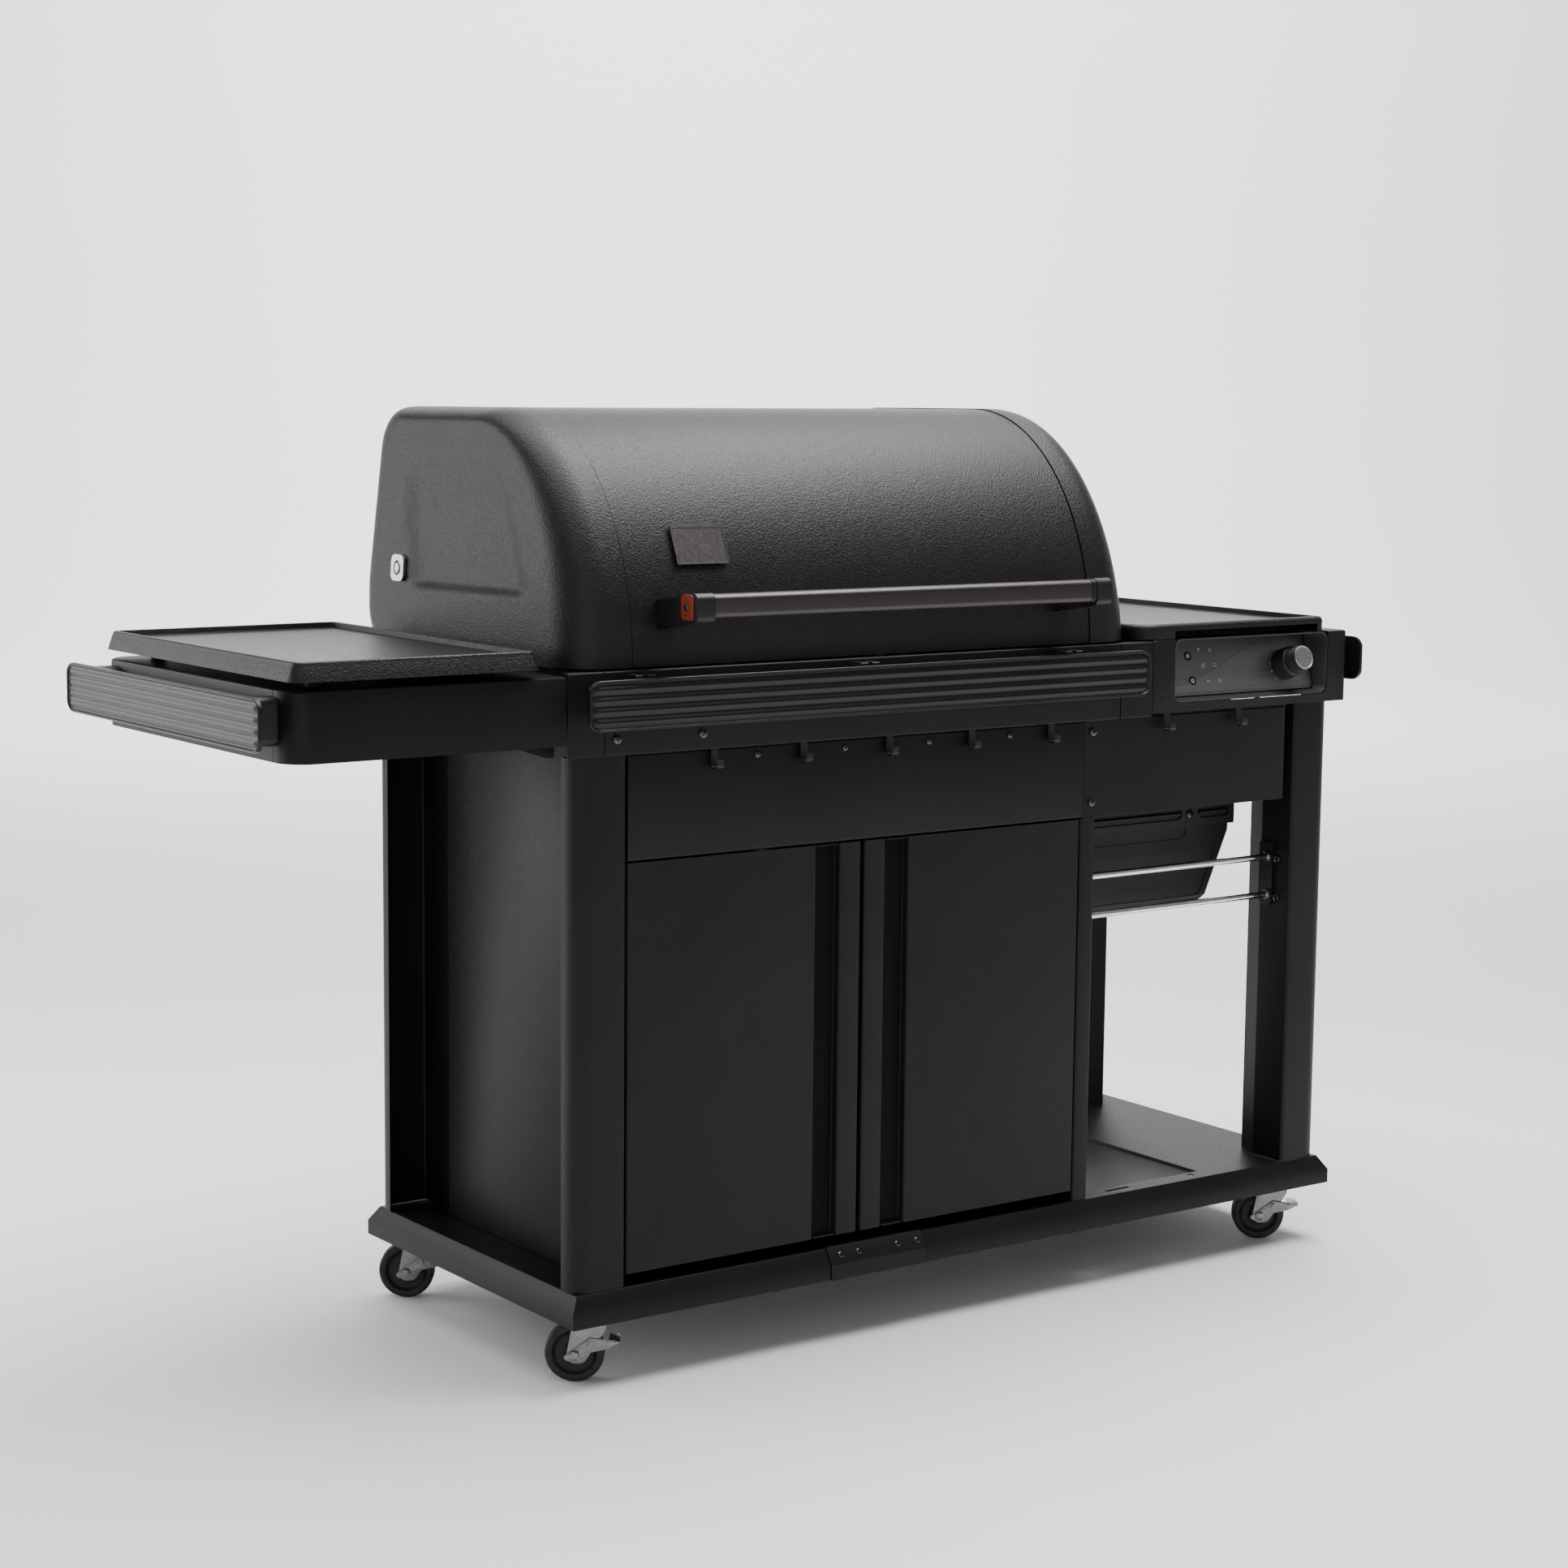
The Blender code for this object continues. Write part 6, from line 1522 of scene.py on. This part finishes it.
def tyre_mesh():
    half = WHEEL_HALF
    profile = [(0.0285, half - 0.0012), (0.0300, half - 0.0002), (0.0335, half),
               (0.0352, half - 0.0004)]
    for step in range(7):
        angle = math.radians(15 * step)
        profile.append((WHEEL_RADIUS - 0.0035 + 0.0035 * math.sin(angle),
                        half - 0.0042 + 0.0035 * math.cos(angle)))
    for groove in (0.0044, -0.0044):
        profile += [(WHEEL_RADIUS, groove + 0.0009), (WHEEL_RADIUS - 0.0010, groove + 0.0005),
                    (WHEEL_RADIUS - 0.0010, groove - 0.0005), (WHEEL_RADIUS, groove - 0.0009)]
    profile += [(radius, -height) for radius, height in reversed(profile[:11])]
    return on_axle("tyre", profile, RUBBER, 72)


def hub_mesh():
    profile = [(0.0043, 0.0134), (0.0120, 0.0134), (0.0130, 0.0124), (0.0138, 0.0080),
               (0.0150, 0.0072), (0.0235, 0.0066), (0.0262, 0.0080), (0.0284, 0.0112),
               (0.0284, 0.0)]
    profile += [(radius, -height) for radius, height in reversed(profile[:-1])]
    return on_axle("hub", profile, PLASTIC, 64)


def bolt_mesh():
    """Axle bolt: a hexagon head on one side, a lock nut on the other."""
    shank = cylinder("axle_bolt", (TRAIL, WHEEL_RADIUS), 0.0038, "Y", -0.0225, 0.0225, ZINC, 32)
    side = FORK_HALF + FORK_SHEET / 2
    pieces = []
    for name, lo, hi in (("head", -side - 0.0052, -side), ("nut", side + 0.0024, side + 0.0080)):
        hexagon = [(TRAIL + 0.0066 * math.cos(math.radians(60 * k + 12)),
                    WHEEL_RADIUS + 0.0066 * math.sin(math.radians(60 * k + 12)))
                   for k in range(6)]
        pieces.append(plate("axle_" + name, hexagon, "Y", lo, hi, ZINC))
    return mesh_of(bevel(join(shank, *pieces), 0.0006))


def lever_mesh():
    side = FORK_HALF + FORK_SHEET / 2 + GAP
    outline = fillet([(-0.034, 0.001), (-0.020, -0.006), (0.012, -0.013), (0.030, -0.023),
                      (0.036, -0.017), (0.018, -0.003), (0.002, 0.008), (-0.034, 0.0045)],
                     0.0022, 6, closed=True)
    lever = plate("brake_lever", outline, "Y", side, side + 0.002, ZINC)
    pad = box("brake_pad", (-0.036, -side + 0.002, 0.0005), (-0.022, side + 0.001, 0.0035), ZINC)
    boss = cylinder("lever_boss", (0.0, 0.0), 0.0050, "Y", side, side + 0.0032, ZINC, 36)
    return mesh_of(bevel(join(lever, pad, boss), 0.0005, 2))


CASTER_MESHES = {
    "crown": crown_mesh(), "cheek_left": cheek_mesh(-1), "cheek_right": cheek_mesh(1),
    "tyre": tyre_mesh(), "hub": hub_mesh(), "bolt": bolt_mesh(), "lever": lever_mesh(),
}
for mesh in CASTER_MESHES.values():
    mesh.shade_smooth()
    mesh.set_sharp_from_angle(angle=math.radians(32.0))

for corner in ("front_left", "front_right", "rear_left", "rear_right"):
    swivel = joint_place("caster_swivel_" + corner)
    axle = joint_place("wheel_roll_" + corner)
    pivot = joint_place("brake_pedal_" + corner)
    heading = math.atan2(axle.y - swivel.y, axle.x - swivel.x)
    turn = Matrix.Rotation(heading, 4, "Z")
    stand = Matrix.Translation((swivel.x, swivel.y, 0.0)) @ turn
    rolling = Matrix.Translation(axle) @ turn
    rows = (
        ("crown", "caster_", stand, ["caster_fork_" + corner]),
        ("cheek_left", "caster_", stand, []),
        ("cheek_right", "caster_", stand, []),
        ("bolt", "caster_", stand, []),
        ("tyre", "wheel_", rolling, ["caster_wheel_" + corner]),
        ("hub", "wheel_", rolling, []),
        ("lever", "pedal_", Matrix.Translation(pivot) @ turn, ["caster_pedal_" + corner]),
    )
    for kind, body, place, nodes in rows:
        piece = bpy.data.objects.new("caster_%s_%s" % (kind, corner), CASTER_MESHES[kind])
        bpy.context.scene.collection.objects.link(piece)
        piece.matrix_world = place
        show(piece, body + corner, *nodes)

# ---------------------------------------------------------------- inside and behind
for name in ("barrel", "exhaust_duct"):
    dress_node(name, PANEL_PAINT, 0.0008)
for name in ("drip_tray", "firepot", "grease_keg", "auger_tube", "auger", "hinge_rod"):
    dress_node(name, STEEL, 0.0004)
dress_node("main_grate", GRATE_IRON, 0.0008)

# ---------------------------------------------------------------- stage, light and camera
stage_shader = Shader("pale_floor", "black_paint", (0.88, 0.88, 0.88), 0.8, specular=0.1)
stage_shader.tint(stage_shader.noise(0.8, 2.0), 0.01)
SWEEP_HALF = 14.0               # the floor's half width, and how far it runs forward
SWEEP_BACK = 9.0                # from the grill back to where the floor turns up
SWEEP_ROUND = 3.0
SWEEP_TOP = 8.0
YAW, PITCH, ROLL = (math.radians(value) for value in (35.706, -7.43, 0.567))
sweep_path = [(-SWEEP_HALF, 0.0)]
for step in range(17):
    angle = math.radians(90 * step / 16)
    sweep_path.append((SWEEP_BACK + SWEEP_ROUND * math.sin(angle),
                       SWEEP_ROUND * (1 - math.cos(angle))))
sweep_path.append((SWEEP_BACK + SWEEP_ROUND, SWEEP_TOP))
sweep_mesh = bmesh.new()
sweep_rows = [[sweep_mesh.verts.new((side, y, z)) for y, z in sweep_path]
              for side in (-SWEEP_HALF, SWEEP_HALF)]
for index in range(len(sweep_path) - 1):
    sweep_mesh.faces.new((sweep_rows[0][index], sweep_rows[1][index],
                          sweep_rows[1][index + 1], sweep_rows[0][index + 1]))
sweep = from_bmesh("studio_sweep", sweep_mesh, stage_shader.material)
sweep.data.shade_smooth()
sweep.rotation_euler.z = -YAW

world = bpy.data.worlds.new("studio")
bpy.context.scene.world = world
world.use_nodes = True
background = world.node_tree.nodes["Background"]
background.inputs["Color"].default_value = (1.0, 1.0, 1.0, 1.0)
background.inputs["Strength"].default_value = 0.27


def soft_light(name, place, target, size, power):
    """A rectangular soft box that the camera doesn't see."""
    data = bpy.data.lights.new(name, "AREA")
    data.shape = "RECTANGLE"
    data.size, data.size_y = size
    data.energy = power
    lamp = bpy.data.objects.new(name, data)
    bpy.context.scene.collection.objects.link(lamp)
    lamp.location = place
    aim = Vector(target) - Vector(place)
    lamp.rotation_euler = aim.to_track_quat("-Z", "Y").to_euler()
    lamp.visible_camera = False


# Each light: name, place, what it points at, size and power in watts.
for light in (("overhead", (1.15, -0.15, 3.2), (0.0, 0.0, 1.0), (2.2, 1.3), 95.0),
              ("left_back", (-2.3, 2.3, 1.3), (-0.4, 0.0, 0.9), (1.8, 1.8), 42.0),
              ("front_low", (-2.6, -4.0, 1.9), (0.1, 0.0, 0.6), (2.6, 1.8), 24.0),
              ("left_side", (-4.0, 1.3, 0.9), (-0.4, 0.2, 0.5), (1.8, 1.6), 23.0),
              ("floor_wash", (0.0, 0.5, 6.5), (0.0, 0.5, 0.0), (7.0, 7.0), 700.0),
              ("backdrop_wash", (3.2, 5.6, 5.5), (6.4, 9.4, 1.6), (7.0, 2.5), 1150.0)):
    soft_light(*light)

CAMERA_PLACE = ORIGIN + Vector((-1.981, -3.194, 1.266))
forward = Vector((math.sin(YAW) * math.cos(PITCH), math.cos(YAW) * math.cos(PITCH),
                  math.sin(PITCH)))
level = Vector((math.cos(YAW), -math.sin(YAW), 0.0))
above = level.cross(forward)
right = level * math.cos(ROLL) + above * math.sin(ROLL)
up = right.cross(forward)
camera_data = bpy.data.cameras.new("view_camera")
camera_data.sensor_width = 36.0
camera_data.lens = 71.33
camera_data.clip_end = 60.0
camera = bpy.data.objects.new("view_camera", camera_data)
bpy.context.scene.collection.objects.link(camera)
axes = Matrix((right, up, -forward)).transposed().to_4x4()
camera.matrix_world = Matrix.Translation(CAMERA_PLACE) @ axes
bpy.context.scene.camera = camera
